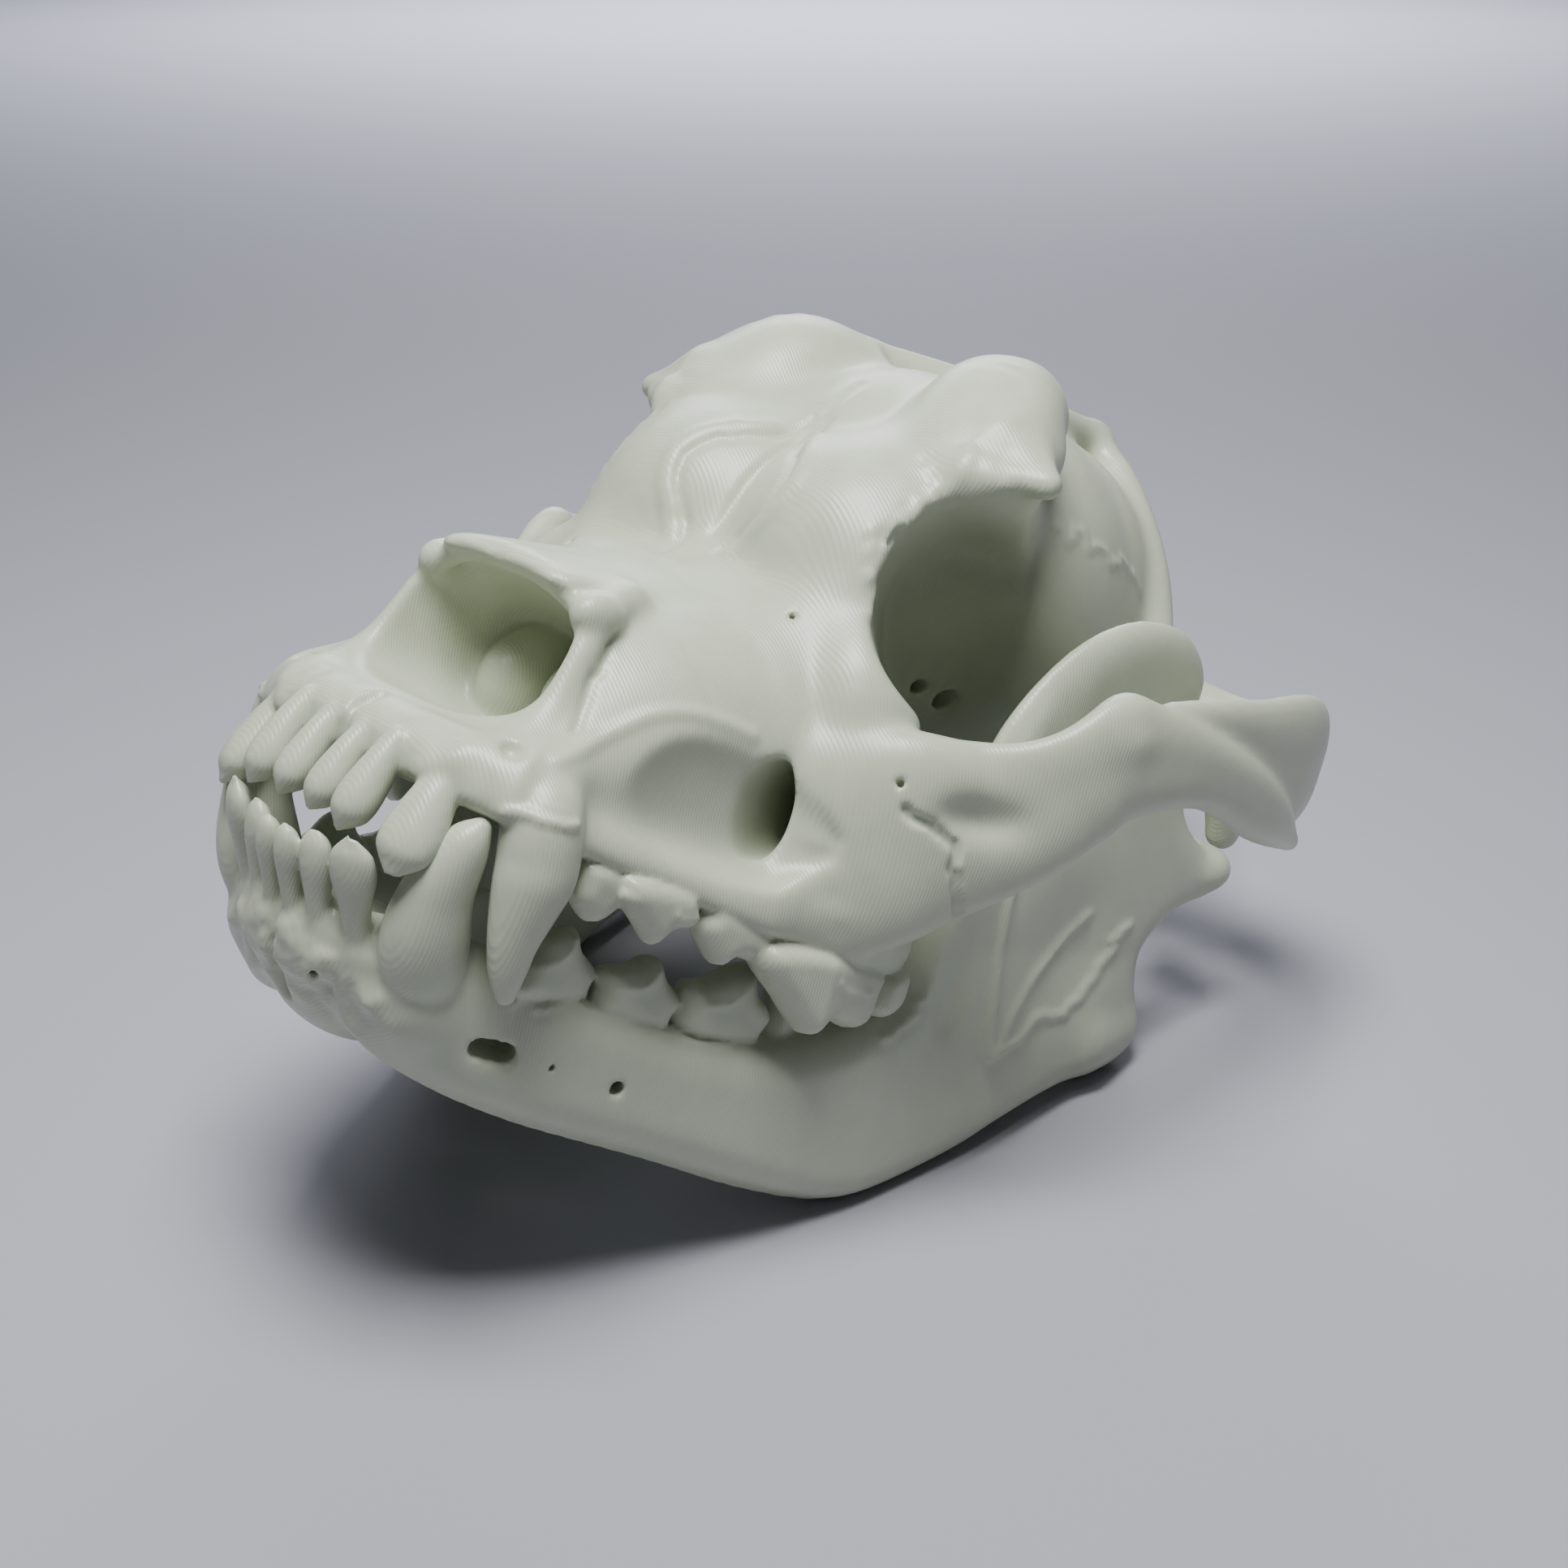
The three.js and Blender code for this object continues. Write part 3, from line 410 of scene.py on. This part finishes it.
tooth_line = [(25.8, 22, 4, 3), (28, 30, 2.2, 3.4), (30.8, 40, -0.5, 3.8), (34.3, 50, -3, 4.3)]
skull.join(bent_rod(tooth_line, 16), 7)
skull.carve(below(8.6, -0.26, 82), 2)  # level of the tooth sockets
skull.carve(egg((0, 44, -9), (23, 44, 10), (-14.6, 0, 0)), 3)  # vault of the palate
nose_opening = [(0, 5, 30.5, 13.5, 18.5), (0, 14, 27, 11.8, 18), (0, 19.3, 24.2, 10.2, 17.2),
                (0, 34, 20, 9.5, 12.5), (0, 48, 16, 5, 8)]
skull.carve(bar(nose_opening, 30, power=3.2), 1)
skull.join(egg((6.5, 43, 16.5), (6.5, 11, 8.5)), 4)  # scrolled bones in the nose
skull.rub(3)
nasal_edge = [(0, 25.6, 34.2, 1.4), (7.5, 25.6, 33.4, 1.4), (14, 26.6, 31.2, 1.6)]
skull.join(bent_rod(nasal_edge, 14), 1.5)
skull.join(egg((15.4, 28, 30.6), (2.6, 4, 3)), 1.5)  # corner of the nasal bone

# Marks on the bone: seams between the bones, the sharp edge of the muzzle's hollow, small holes for nerves,
# rough patches on the brow, the eye socket's rim, over the incisors and on the cheekbone's root. A line's
# numbers are its radius, its height or depth, its blend, how far it wanders and its seed, a pit's are the
# way in, its radius, depth and blend, and a rough patch's are its radii, depth, grain and seed.
skull.line([(0, 86, 70), (0, 80.3, 64.6), (0, 72, 55), (0, 62, 43)], 0.9, -0.4, 1, 0.1, 1)
skull.line([(1.5, 79, 63), (2.8, 73.3, 58.9), (8, 66, 56), (10, 62.5, 51.5), (7.5, 61.2, 46.7),
            (4, 60, 42), (3, 54.7, 38.5)], 0.9, -0.55, 1, 0.15, 2)
skull.line([(4.5, 74, 60.5), (10, 66, 57.5), (12, 62.6, 52), (9.5, 60.5, 46.5), (6, 59, 42)],
           1.2, 0.4, 2, 0.1, 3)
skull.line([(18.2, 30, 28.5), (19.6, 27.4, 25.6), (21.4, 24.6, 22.4), (23.6, 21.5, 18.8)],
           0.7, -0.55, 0.8, 0.3, 4)
skull.line([(26.6, 17.5, 15.5), (26.6, 23.7, 18.8), (26.9, 30, 21.4), (28.2, 35.3, 22.4), (30, 40, 22),
            (31.5, 45, 20.8)], 0.9, 0.35, 1.4)
skull.line([(29.8, 71.5, 57.6), (28.5, 68.6, 52), (28.8, 66.3, 45.5), (30.4, 64.4, 38.5)],
           1, 0.5, 1, 0.4, 5)
skull.line([(28.9, 68.4, 50.8), (29.6, 66.8, 48.2)], 0.8, -0.9, 0.6, 0.3, 6)
skull.line([(46.5, 60.8, 16.2), (49.4, 64, 14.7), (51.5, 67.5, 13.6), (51.8, 67.9, 10.5), (52.2, 69, 7.2),
            (52.2, 72, 2.6)], 0.8, -0.9, 0.7, 0.35, 7)
skull.line([(24.5, 109.2, 56.5), (25.9, 112.8, 54.7), (25.7, 117.1, 56.6), (26.5, 125.1, 53.9),
            (25.6, 133, 54), (25, 141, 50.8)], 0.8, 0.35, 0.9, 0.7, 8)
skull.line([(0, 4.5, 7.5), (0, 6, 11.5), (0, 10, 14)], 1.1, -0.9, 1, 0.1, 9)
skull.pit((20.4, 101.4, 27.1), (-1, 0.2, 0), 2.1, 3, 1)
skull.pit((18.4, 96.4, 28.2), (-1, 0.3, 0), 1.5, 3, 0.8)
skull.pit((21.6, 13.4, 14.6), (-0.7, 0.3, -0.6), 1.7, 0.4, 1.5)
skull.pit((22.7, 56.9, 35.9), (-0.6, 0.6, -0.4), 0.7, 1.2, 0.4)
skull.pit((45.1, 60, 19.3), (-0.5, 0.8, -0.2), 0.8, 1.2, 0.5)
skull.roughen((30, 76, 61), (9, 9, 8), 0.25, 2, 11)
skull.roughen((29, 67, 48), (5, 6, 10), 0.3, 1.6, 12)
skull.roughen((10, 7, 11), (17, 7, 5.5), 0.5, 3, 13)
skull.roughen((38, 62, 2), (9, 12, 9), 0.25, 2.6, 14)

# Upper teeth: leaf-shaped incisors, long canines, sharp blades behind them, each crown set on its root. An
# incisor's rings are shares of the way from root to tip, of its half width and of its half thickness.
UPPER_RINGS = [(0, 0.6, 0.6), (0.3, 0.75, 0.85), (0.5, 0.88, 0.95), (0.75, 1, 1),
               (0.92, 0.92, 0.9), (1, 0.7, 0.7)]


def finger(tip, root, across, half_width, half_thick, rings):
    """Incisor: a spoon-shaped crown that narrows at its neck and runs up into the bone."""
    tip, root = np.array(tip, float), np.array(root, float)
    rows = [(*(root + t * (tip - root)), half_width * w, half_thick * k) for t, w, k in rings]
    return bar(rows, 12, [across] * len(rows))


def outline_distance(line, y, z):
    """Signed distance to a closed outline in y and z, negative inside."""
    least = np.full(np.broadcast(y, z).shape, np.inf)
    side = np.ones_like(least)
    for a, b in zip(line, np.roll(line, 1, axis=0)):
        e = b - a
        wy, wz = y - a[0], z - a[1]
        t = np.clip((wy * e[0] + wz * e[1]) / (e @ e), 0, 1)
        least = np.minimum(least, (wy - t * e[0]) ** 2 + (wz - t * e[1]) ** 2)
        above, below_end, left = z >= a[1], z < b[1], e[0] * wz > e[1] * wy
        side = np.where((above & below_end & left) | (~above & ~below_end & ~left), -side, side)
    return side * np.sqrt(least)


def plate(outline, count, middle, half, edge, reach=(-5, 90)):
    """Upright curved plate: outline in y and z, middle surface, half thickness and a rounded rim."""
    line = smooth(outline, count, closed=True)

    def distance(x, y, z):
        y, z = y[0], z[0]
        beyond = outline_distance(line, y, z)
        inset = np.clip(-beyond / edge, 0, 1)
        wall = half(y, z) * np.maximum(np.sqrt(1 - (1 - inset) ** 2), 0.02)
        off = np.abs(x - middle(y, z)[None]) - wall[None]
        return np.where(beyond[None] > 0, np.sqrt(np.maximum(off, 0) ** 2 + beyond[None] ** 2), off)

    return (reach[0], *line.min(0)), (reach[1], *line.max(0)), distance


CROWN_POINTS = 90
CROWN_RIM = 2.6            # width of the rounded rim of a cheek tooth's crown


def blade(outline, row, half_thick):
    """Cheek tooth: a pillow-shaped crown with its outline in y and z, along its row's stops of (y, x)."""
    across = [x for _, x in row]

    def middle(y, z):
        return stop_value(row, y) + 0 * z

    def half(y, z):
        return half_thick + 0 * y + 0 * z

    return plate(outline, CROWN_POINTS, middle, half, CROWN_RIM,
                 (min(across) - half_thick, max(across) + half_thick))


upper_incisors = [((3.2, 1.3, 1.4), (3.4, 7, 11.5), (1, 0.05, 0), 2.6, 2.6),
                  ((9.3, 1.3, 1), (9.2, 7, 11.8), (1, 0.2, 0), 2.9, 2.7),
                  ((17.8, 3.5, -1.5), (16.6, 9.4, 10), (0.85, 0.5, 0), 3.9, 2.7)]
upper_canine = [(22, 20.5, 11, 3.4), (25.6, 17.5, 7, 4.9), (26.8, 17.2, 1.2, 5.1), (27, 16.7, -2.1, 4.6),
                (27, 16.1, -7.7, 3.3), (27, 16.4, -12.1, 2.4), (27, 17.1, -15.5, 1.3)]
upper_blades = [([(24, 2.5), (22.8, 0.2), (22.6, -2.6), (26.4, -5.5), (30.3, -3), (30.2, 0), (29, 2)],
                 [(22, 28.2), (31, 28.8)], 2.3),
                ([(29.5, 1.5), (28.3, 0), (28.3, -1.7), (31.8, -5.2), (34.4, -7.3), (36.9, -5.3),
                  (39.8, -4.7), (40.5, -3), (39.8, -1), (38, 0.5)], [(28, 31), (41, 33)], 2.6),
                ([(43, -1), (41.4, -2.5), (40.8, -4.4), (42.3, -7), (45, -9.5), (47.4, -8), (50.2, -8.4),
                  (51.8, -6.6), (51.6, -4.6), (50, -3)], [(41, 33.2), (52, 36.8)], 2.8),
                ([(50.5, -5), (49.5, -8.4), (54.3, -13.1), (59.2, -17.4), (62.8, -15.1), (66, -16.2),
                  (69, -17.1), (71.7, -15.6), (72.3, -11.7), (72, -8), (60, -5)],
                 [(49, 37.3), (59, 40.8), (72, 40.5)], 3.6),
                ([(73, -9), (72.5, -14), (75, -16), (78.3, -14.8), (79.6, -12), (78.5, -8)],
                 [(72, 40.5), (80, 40)], 3.8)]
for sizes in upper_incisors:
    skull.join(finger(*sizes, UPPER_RINGS), 0.6)
skull.join(bent_rod(upper_canine, 40), 0.8)
skull.line([(25, 12.2, 7.6), (28.6, 12.9, 7.9), (30.9, 15.6, 8), (31, 18.3, 7.6)], 0.8, 0.5, 0.6, 0.2, 10)
for sizes in upper_blades:
    skull.join(blade(*sizes), 0.7)
for ridge in ([(34.5, 35.5, -2.5), (35, 36.5, -3.6), (35.3, 39.5, -3.1)],
              [(43.5, 60.5, -9), (44, 62.5, -10.5), (43.8, 68.5, -11)]):
    skull.line(ridge, 0.6, 0.3, 0.7)

upper_skull = skull.surface("upper_skull")

# Printed plastic of both pieces: PLA laid down in layers across the skull's length, then left bare.
# It gives the eye a pale ivory grey with a soft gloss, light sinking a little way in.


def linear(hex_colour):
    parts = [int(hex_colour[i:i + 2], 16) / 255 for i in (1, 3, 5)]
    return (*[c / 12.92 if c <= 0.04045 else ((c + 0.055) / 1.055) ** 2.4 for c in parts], 1.0)


def add_node(tree, kind, settings=None, links=None):
    """A node with its input values and the sockets that feed it."""
    node = tree.nodes.new(kind)
    for key, value in (settings or {}).items():
        if key in node.inputs:
            node.inputs[key].default_value = value
        else:
            setattr(node, key, value)
    for key, socket in (links or {}).items():
        tree.links.new(socket, node.inputs[key])
    return node


LAYER_DRAWN = 0.00042      # the real layers, about 0.2 mm, are too fine for the picture and drawn coarser
LAYER_RELIEF = 0.00006     # height of a layer's edge
FLECK = 0.004              # uneven gloss and tint, patches of about this size

pla = bpy.data.materials.new("printed_pla")
pla.use_nodes = True
tree = pla.node_tree
shader = tree.nodes["Principled BSDF"]
shader.inputs["IOR"].default_value = 1.46
shader.inputs["Subsurface Weight"].default_value = 0.2
shader.inputs["Subsurface Radius"].default_value = (1.0, 0.85, 0.6)
shader.inputs["Subsurface Scale"].default_value = 0.002
on_print = add_node(tree, "ShaderNodeTexCoord")
along = add_node(tree, "ShaderNodeMapping", {"Rotation": (REST_PITCH, 0, 0)},
                 {"Vector": on_print.outputs["Object"]})
layers = add_node(tree, "ShaderNodeTexWave",
                  {"bands_direction": "Y", "Scale": math.tau / (20 * LAYER_DRAWN), "Distortion": 0.6,
                   "Detail": 1.0, "Detail Scale": 0.05},
                  {"Vector": along.outputs["Vector"]})
relief = add_node(tree, "ShaderNodeBump", {"Strength": 0.35, "Distance": LAYER_RELIEF},
                  {"Height": layers.outputs["Fac"]})
flecks = add_node(tree, "ShaderNodeTexNoise", {"Scale": 1 / FLECK, "Detail": 3.0},
                  {"Vector": on_print.outputs["Object"]})
tint = add_node(tree, "ShaderNodeMix", {"data_type": "RGBA"})
tint.inputs[6].default_value = linear("#BAC1AC")
tint.inputs[7].default_value = linear("#C5CBB7")
tree.links.new(flecks.outputs["Fac"], tint.inputs[0])
gloss = add_node(tree, "ShaderNodeMapRange", {"To Min": 0.26, "To Max": 0.42},
                 {"Value": flecks.outputs["Fac"]})
tree.links.new(tint.outputs[2], shader.inputs["Base Color"])
tree.links.new(gloss.outputs["Result"], shader.inputs["Roughness"])
tree.links.new(relief.outputs["Normal"], shader.inputs["Normal"])

upper_skull.data.materials.append(pla)
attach(upper_skull, "root")
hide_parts("muzzle", "braincase", "cheek_arch_left", "cheek_arch_right")

# Lower jaw, bones and teeth. The real piece is a second print in the same PLA: two upright plates that meet
# at the chin. It carries the whole skull on its lower edges and hind corners.
jaw = Clay([(0, 0.5), (40, 0.5), (46, 0.75), (64, 0.75)],
           [(-7, 0.45), (70, 0.45), (85, 0.75), (162, 0.75)],
           [(-54, 0.7), (-30, 0.7), (-22, 0.5), (10, 0.5), (18, 0.75), (56, 0.75)])

jaw_outline = [(5.5, -11), (5, -17), (8, -25), (14, -30), (27, -34.9), (49, -40), (66, -44.2),
               (80, -45.5), (95, -39.8), (107, -33.2), (118, -28.2), (126, -25.9), (131.5, -24.3),
               (136, -20), (136.8, -15.5), (134, -10), (133.5, -4), (139, 2), (147, 5), (149, 11),
               (141, 14), (133, 20), (128.5, 32), (128, 41), (120, 47), (108, 46.5), (97, 40), (89, 27),
               (86, 10), (83, -6), (77, -15), (64, -20.5), (52, -20.5), (40, -18.3),
               (29, -15.6), (18, -12)]
jaw_spread = [(-5, 2), (0, 5), (5, 9), (10, 12), (20, 17.5), (30, 22), (45, 27), (60, 32), (80, 38),
              (100, 43), (120, 46.5), (140, 49), (160, 50)]
body_wall = [(-5, 3), (0, 4), (5, 5), (20, 6), (60, 6.5), (85, 6), (160, 5)]
BRANCH_WALL = 2.6          # half thickness of the upright branch
BRANCH_BACK, BRANCH_UP = 80, -30     # y and z from which the jaw thins to it
BRANCH_EASE_BACK, BRANCH_EASE_UP = 15, 25


def jaw_middle(y, z):
    return stop_value(jaw_spread, y) + 0 * z


def jaw_half(y, z):
    """Half thickness, from the body's own to that of the upright branch behind the teeth."""
    risen = np.clip((z - BRANCH_UP) / BRANCH_EASE_UP, 0, 1)
    upright = risen * np.clip((y - BRANCH_BACK) / BRANCH_EASE_BACK, 0, 1)
    return stop_value(body_wall, y) * (1 - upright) + BRANCH_WALL * upright


jaw.join(plate(jaw_outline, count=140, middle=jaw_middle, half=jaw_half, edge=6), 1)
jaw.join(egg((0, 15.6, -22), (12, 12, 9), (-25, 0, 0)), 5)  # chin
jaw.join(egg((0, 9.2, -17), (12.5, 8, 5.5)), 4)  # bone under the incisors
socket_row = [(0, 5.2, -13.6, 5, 3.8), (6, 6.2, -15, 5, 3.7), (12, 9.2, -17, 5, 3.7),
              (16, 13.4, -17.5, 5, 4)]
jaw.join(bar(socket_row, 20), 2)
jaw.join(egg((15, 14.5, -20.5), (6.5, 7, 6)), 6)  # root of the canine
jaw.join(rod((42, 147.5, 9), (50.5, 145.5, 10), 5, 3.5), 4)  # knuckle of the joint
jaw.join(rod((48, 124, -20), (48.5, 131.5, -18.5), 5, 3.5), 4)  # hind corner

# Marks on the jaw: the ridges and hollow where the chewing muscle holds on, the wavy edge of the tooth
# sockets, the holes for nerves, and the rough chin with the furrow between its two halves
jaw.carve(egg((56, 110, -4), (9, 13, 15)), 6)
jaw.carve(egg((47, 88, -8), (4, 5.5, 12)), 2)
jaw.rub(2)
jaw.line([(44.6, 95.9, 3.8), (44.8, 96.6, -2.5), (45.8, 97.5, -11.2), (47.2, 98.2, -21)], 1.1, 0.8, 1)
jaw.line([(48.3, 115.3, 1), (47.4, 109.5, -5.8), (47.2, 103.9, -12.2), (47.5, 99.6, -20.4)], 1, 0.6, 0.9)
jaw.line([(49.7, 124.6, 0.7), (49.4, 122.6, -4.1), (49.5, 118.6, -10.7), (49.2, 113.9, -14.6),
          (48.4, 109.1, -14.7), (48.1, 103.8, -19.1), (47.4, 99, -21)], 0.9, 0.6, 0.9, 0.4, 21)
jaw.line([(42.2, 84.1, -10.7), (43.2, 80.8, -15.1), (42.9, 77.2, -19.4)], 0.9, 0.5, 0.9, 0.4, 22)
jaw.line([(25, 22.1, -14), (26, 24.1, -13.4), (26.4, 27.2, -15.9), (26.8, 30, -17.2), (27.8, 34.4, -18.3),
          (29.4, 38, -18.6)], 0.6, 0.4, 0.6, 0.3, 23)
jaw.line([(30.2, 42.5, -19.5), (30.8, 45.8, -19.4), (32.5, 50.2, -20.6), (33.5, 55, -21.2)],
         0.6, 0.35, 0.6, 0.3, 24)
jaw.line([(0, 1, -11), (0, 2, -17), (0, 6, -25)], 1.2, -1, 1, 0.1, 25)
for mouth, radius, depth in (((22.8, 19.3, -24.5), 1.7, 4), ((23.6, 20.6, -24.7), 1.9, 4),
                             ((24.4, 21.9, -24.9), 1.8, 4), ((27.3, 28.3, -26.1), 0.6, 1.5),
                             ((30.8, 37.6, -28.3), 1.2, 3), ((7.4, 3.6, -19.8), 1.1, 2)):
    jaw.pit(mouth, (-0.8, 0.5, 0.1), radius, depth, 0.5)
jaw.roughen((6, 5, -18), (16, 10, 11), 0.55, 3, 26)
jaw.roughen((6, 5, -18), (14, 9, 10), 0.25, 1.4, 27)

# Lower teeth: small incisors, canines that stand in front of the upper ones, and the blades behind them
LOWER_RINGS = [(0, 0.6, 0.8), (0.45, 0.62, 0.85), (0.75, 1.0, 0.95), (0.92, 0.95, 0.75), (1, 0.7, 0.5)]
lower_incisors = [((1.9, -1, -3), (2, 4, -16), (1, 0.05, 0), 1.9, 1.9),
                  ((6.1, 0.3, -2.5), (6, 5, -17), (1, 0.2, 0), 2.4, 2),
                  ((12.2, 1, -1.9), (10.8, 7.4, -17), (0.9, 0.4, 0), 3.1, 2.1)]
lower_canine = [(14.5, 16, -22, 3.8), (17.3, 11.2, -13.5, 5.6), (19.3, 9.5, -5, 4.5), (21.2, 9.9, 1, 3.2),
                (22.4, 10.9, 4.3, 1.4)]
lower_blades = [([(21.5, -17), (21.8, -13), (22.7, -11.9), (25.3, -8.9), (28.1, -7.9), (29.4, -8.4),
                  (30.7, -10.8), (33.9, -13.6), (33.4, -15.5), (32, -18)], [(21, 23.4), (34, 24.4)], 2.4),
                ([(34.8, -19), (33.9, -15.1), (33.9, -13.3), (35, -12.5), (38.5, -12), (40.3, -10.9),
                  (42, -11.1), (43.4, -13.4), (45, -14.9), (46.6, -16.3), (45.8, -18.5), (44, -21)],
                 [(33, 25.8), (47, 28.8)], 2.7),
                ([(47, -20.5), (45.9, -15.9), (46.8, -13.6), (48.9, -13.4), (54.6, -11.1), (56.1, -10.8),
                  (57.2, -11.9), (58.2, -14.6), (60.1, -16.1), (61.4, -18), (60.7, -20), (58, -22.5)],
                 [(46, 29.9), (61, 32.4)], 2.9),
                ([(62.5, -23), (62.4, -17), (64, -13.5), (67, -11.5), (69, -14), (73, -13.5), (76, -15.5),
                  (80, -16.3), (81, -19), (79, -21)], [(62, 32), (81, 33.4)], 2.9)]
for sizes in lower_incisors:
    jaw.join(finger(*sizes, LOWER_RINGS), 0.6)
jaw.join(bent_rod(lower_canine, 40), 1)
for sizes in lower_blades:
    jaw.join(blade(*sizes), 0.7)
for ridge in ([(26, 28, -9), (26.3, 26.5, -11.5), (25.5, 23, -12.5)],
              [(30.2, 41, -11.8), (30.3, 39, -14.3), (28.7, 35, -14.8)],
              [(34, 55.5, -11.8), (35, 52.5, -15.5), (33, 48, -16.3)]):
    jaw.line(ridge, 0.6, 0.3, 0.7)


def floor_cut(reach):
    """Everything below the floor that the jaw stands on, as far as it reaches."""
    c, s = math.cos(REST_PITCH), math.sin(REST_PITCH)

    def distance(x, y, z):
        return c * z - s * y + TIPS_ABOVE + 0 * x

    return (-reach,) * 3, (reach,) * 3, distance


jaw.carve(floor_cut(reach=200), 0.4)

lower_jaw = jaw.surface("lower_jaw")
lower_jaw.data.materials.append(pla)
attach(lower_jaw, "root")
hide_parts("mandible_left", "mandible_right")

# Floor: plain pale card under the skull, not part of the object. It is matt, so it takes soft shadows and
# shows no clear reflection of the print.
FLOOR_HALF = 3.0
floor_corners = [(-FLOOR_HALF, -FLOOR_HALF, 0), (FLOOR_HALF, -FLOOR_HALF, 0), (FLOOR_HALF, FLOOR_HALF, 0),
                 (-FLOOR_HALF, FLOOR_HALF, 0)]
floor_mesh = bpy.data.meshes.new("floor")
floor_mesh.from_pydata(floor_corners, [], [(0, 1, 2, 3)])
floor = bpy.data.objects.new("floor", floor_mesh)
bpy.context.scene.collection.objects.link(floor)
matt = bpy.data.materials.new("matt_card")
matt.use_nodes = True
card = matt.node_tree.nodes["Principled BSDF"]
card.inputs["Base Color"].default_value = linear("#A8A9B2")
card.inputs["Roughness"].default_value = 0.8
floor_mesh.materials.append(matt)

# Light and camera: a small soft box close overhead gives the gloss its highlights, a large faintly blue one
# lights the floor behind, and a weak even sky fills the shade. The camera stands at the skull's front left.
world = bpy.data.worlds.new("studio")
bpy.context.scene.world = world
world.use_nodes = True
sky = world.node_tree.nodes["Background"]
sky.inputs["Color"].default_value = linear("#DCDFE6")
sky.inputs["Strength"].default_value = 0.1


def soft_box(name, colour, place, aim, size, power):
    light = bpy.data.lights.new(name, "AREA")
    light.color = linear(colour)[:3]
    light.shape = "SQUARE"
    light.size = size
    light.energy = power
    lamp = bpy.data.objects.new(name, light)
    bpy.context.scene.collection.objects.link(lamp)
    lamp.location = place
    lamp.rotation_euler = (Vector(aim) - Vector(place)).to_track_quat("-Z", "Y").to_euler()


soft_box("overhead", "#FFFFFF", place=(0.05, -0.07, 0.55), aim=(0, 0, 0.05), size=0.22, power=4.7)
soft_box("backdrop_light", "#F2F4FF", place=(-1.4, 1.65, 0.85), aim=(-1.4, 1.65, 0), size=1.5, power=60)

# The camera's place and directions are in the skull's own frame, as fitted to the picture's main points.
CAMERA_SKULL = (183.08, -140.49, 54.55)
CAMERA_FORWARD = (-0.60765, 0.77788, -0.16018)
CAMERA_RIGHT = (0.73396, 0.62707, 0.26093)
FOCAL_SHARE = 1.19618      # focal length as a share of the sensor's width

lens = bpy.data.cameras.new("camera")
lens.sensor_fit = "HORIZONTAL"
lens.sensor_width = 36
lens.lens = FOCAL_SHARE * lens.sensor_width
lens.clip_start = 0.005
camera = bpy.data.objects.new("camera", lens)
bpy.context.scene.collection.objects.link(camera)
place, ahead, right = to_frame([CAMERA_SKULL, np.add(CAMERA_SKULL, CAMERA_FORWARD),
                                np.add(CAMERA_SKULL, CAMERA_RIGHT)])
forward = Vector(ahead - place).normalized()
rightward = Vector(right - place).normalized()
upward = rightward.cross(forward)
camera.matrix_world = Matrix((rightward, upward, -forward)).transposed().to_4x4()
camera.location = place
bpy.context.scene.camera = camera
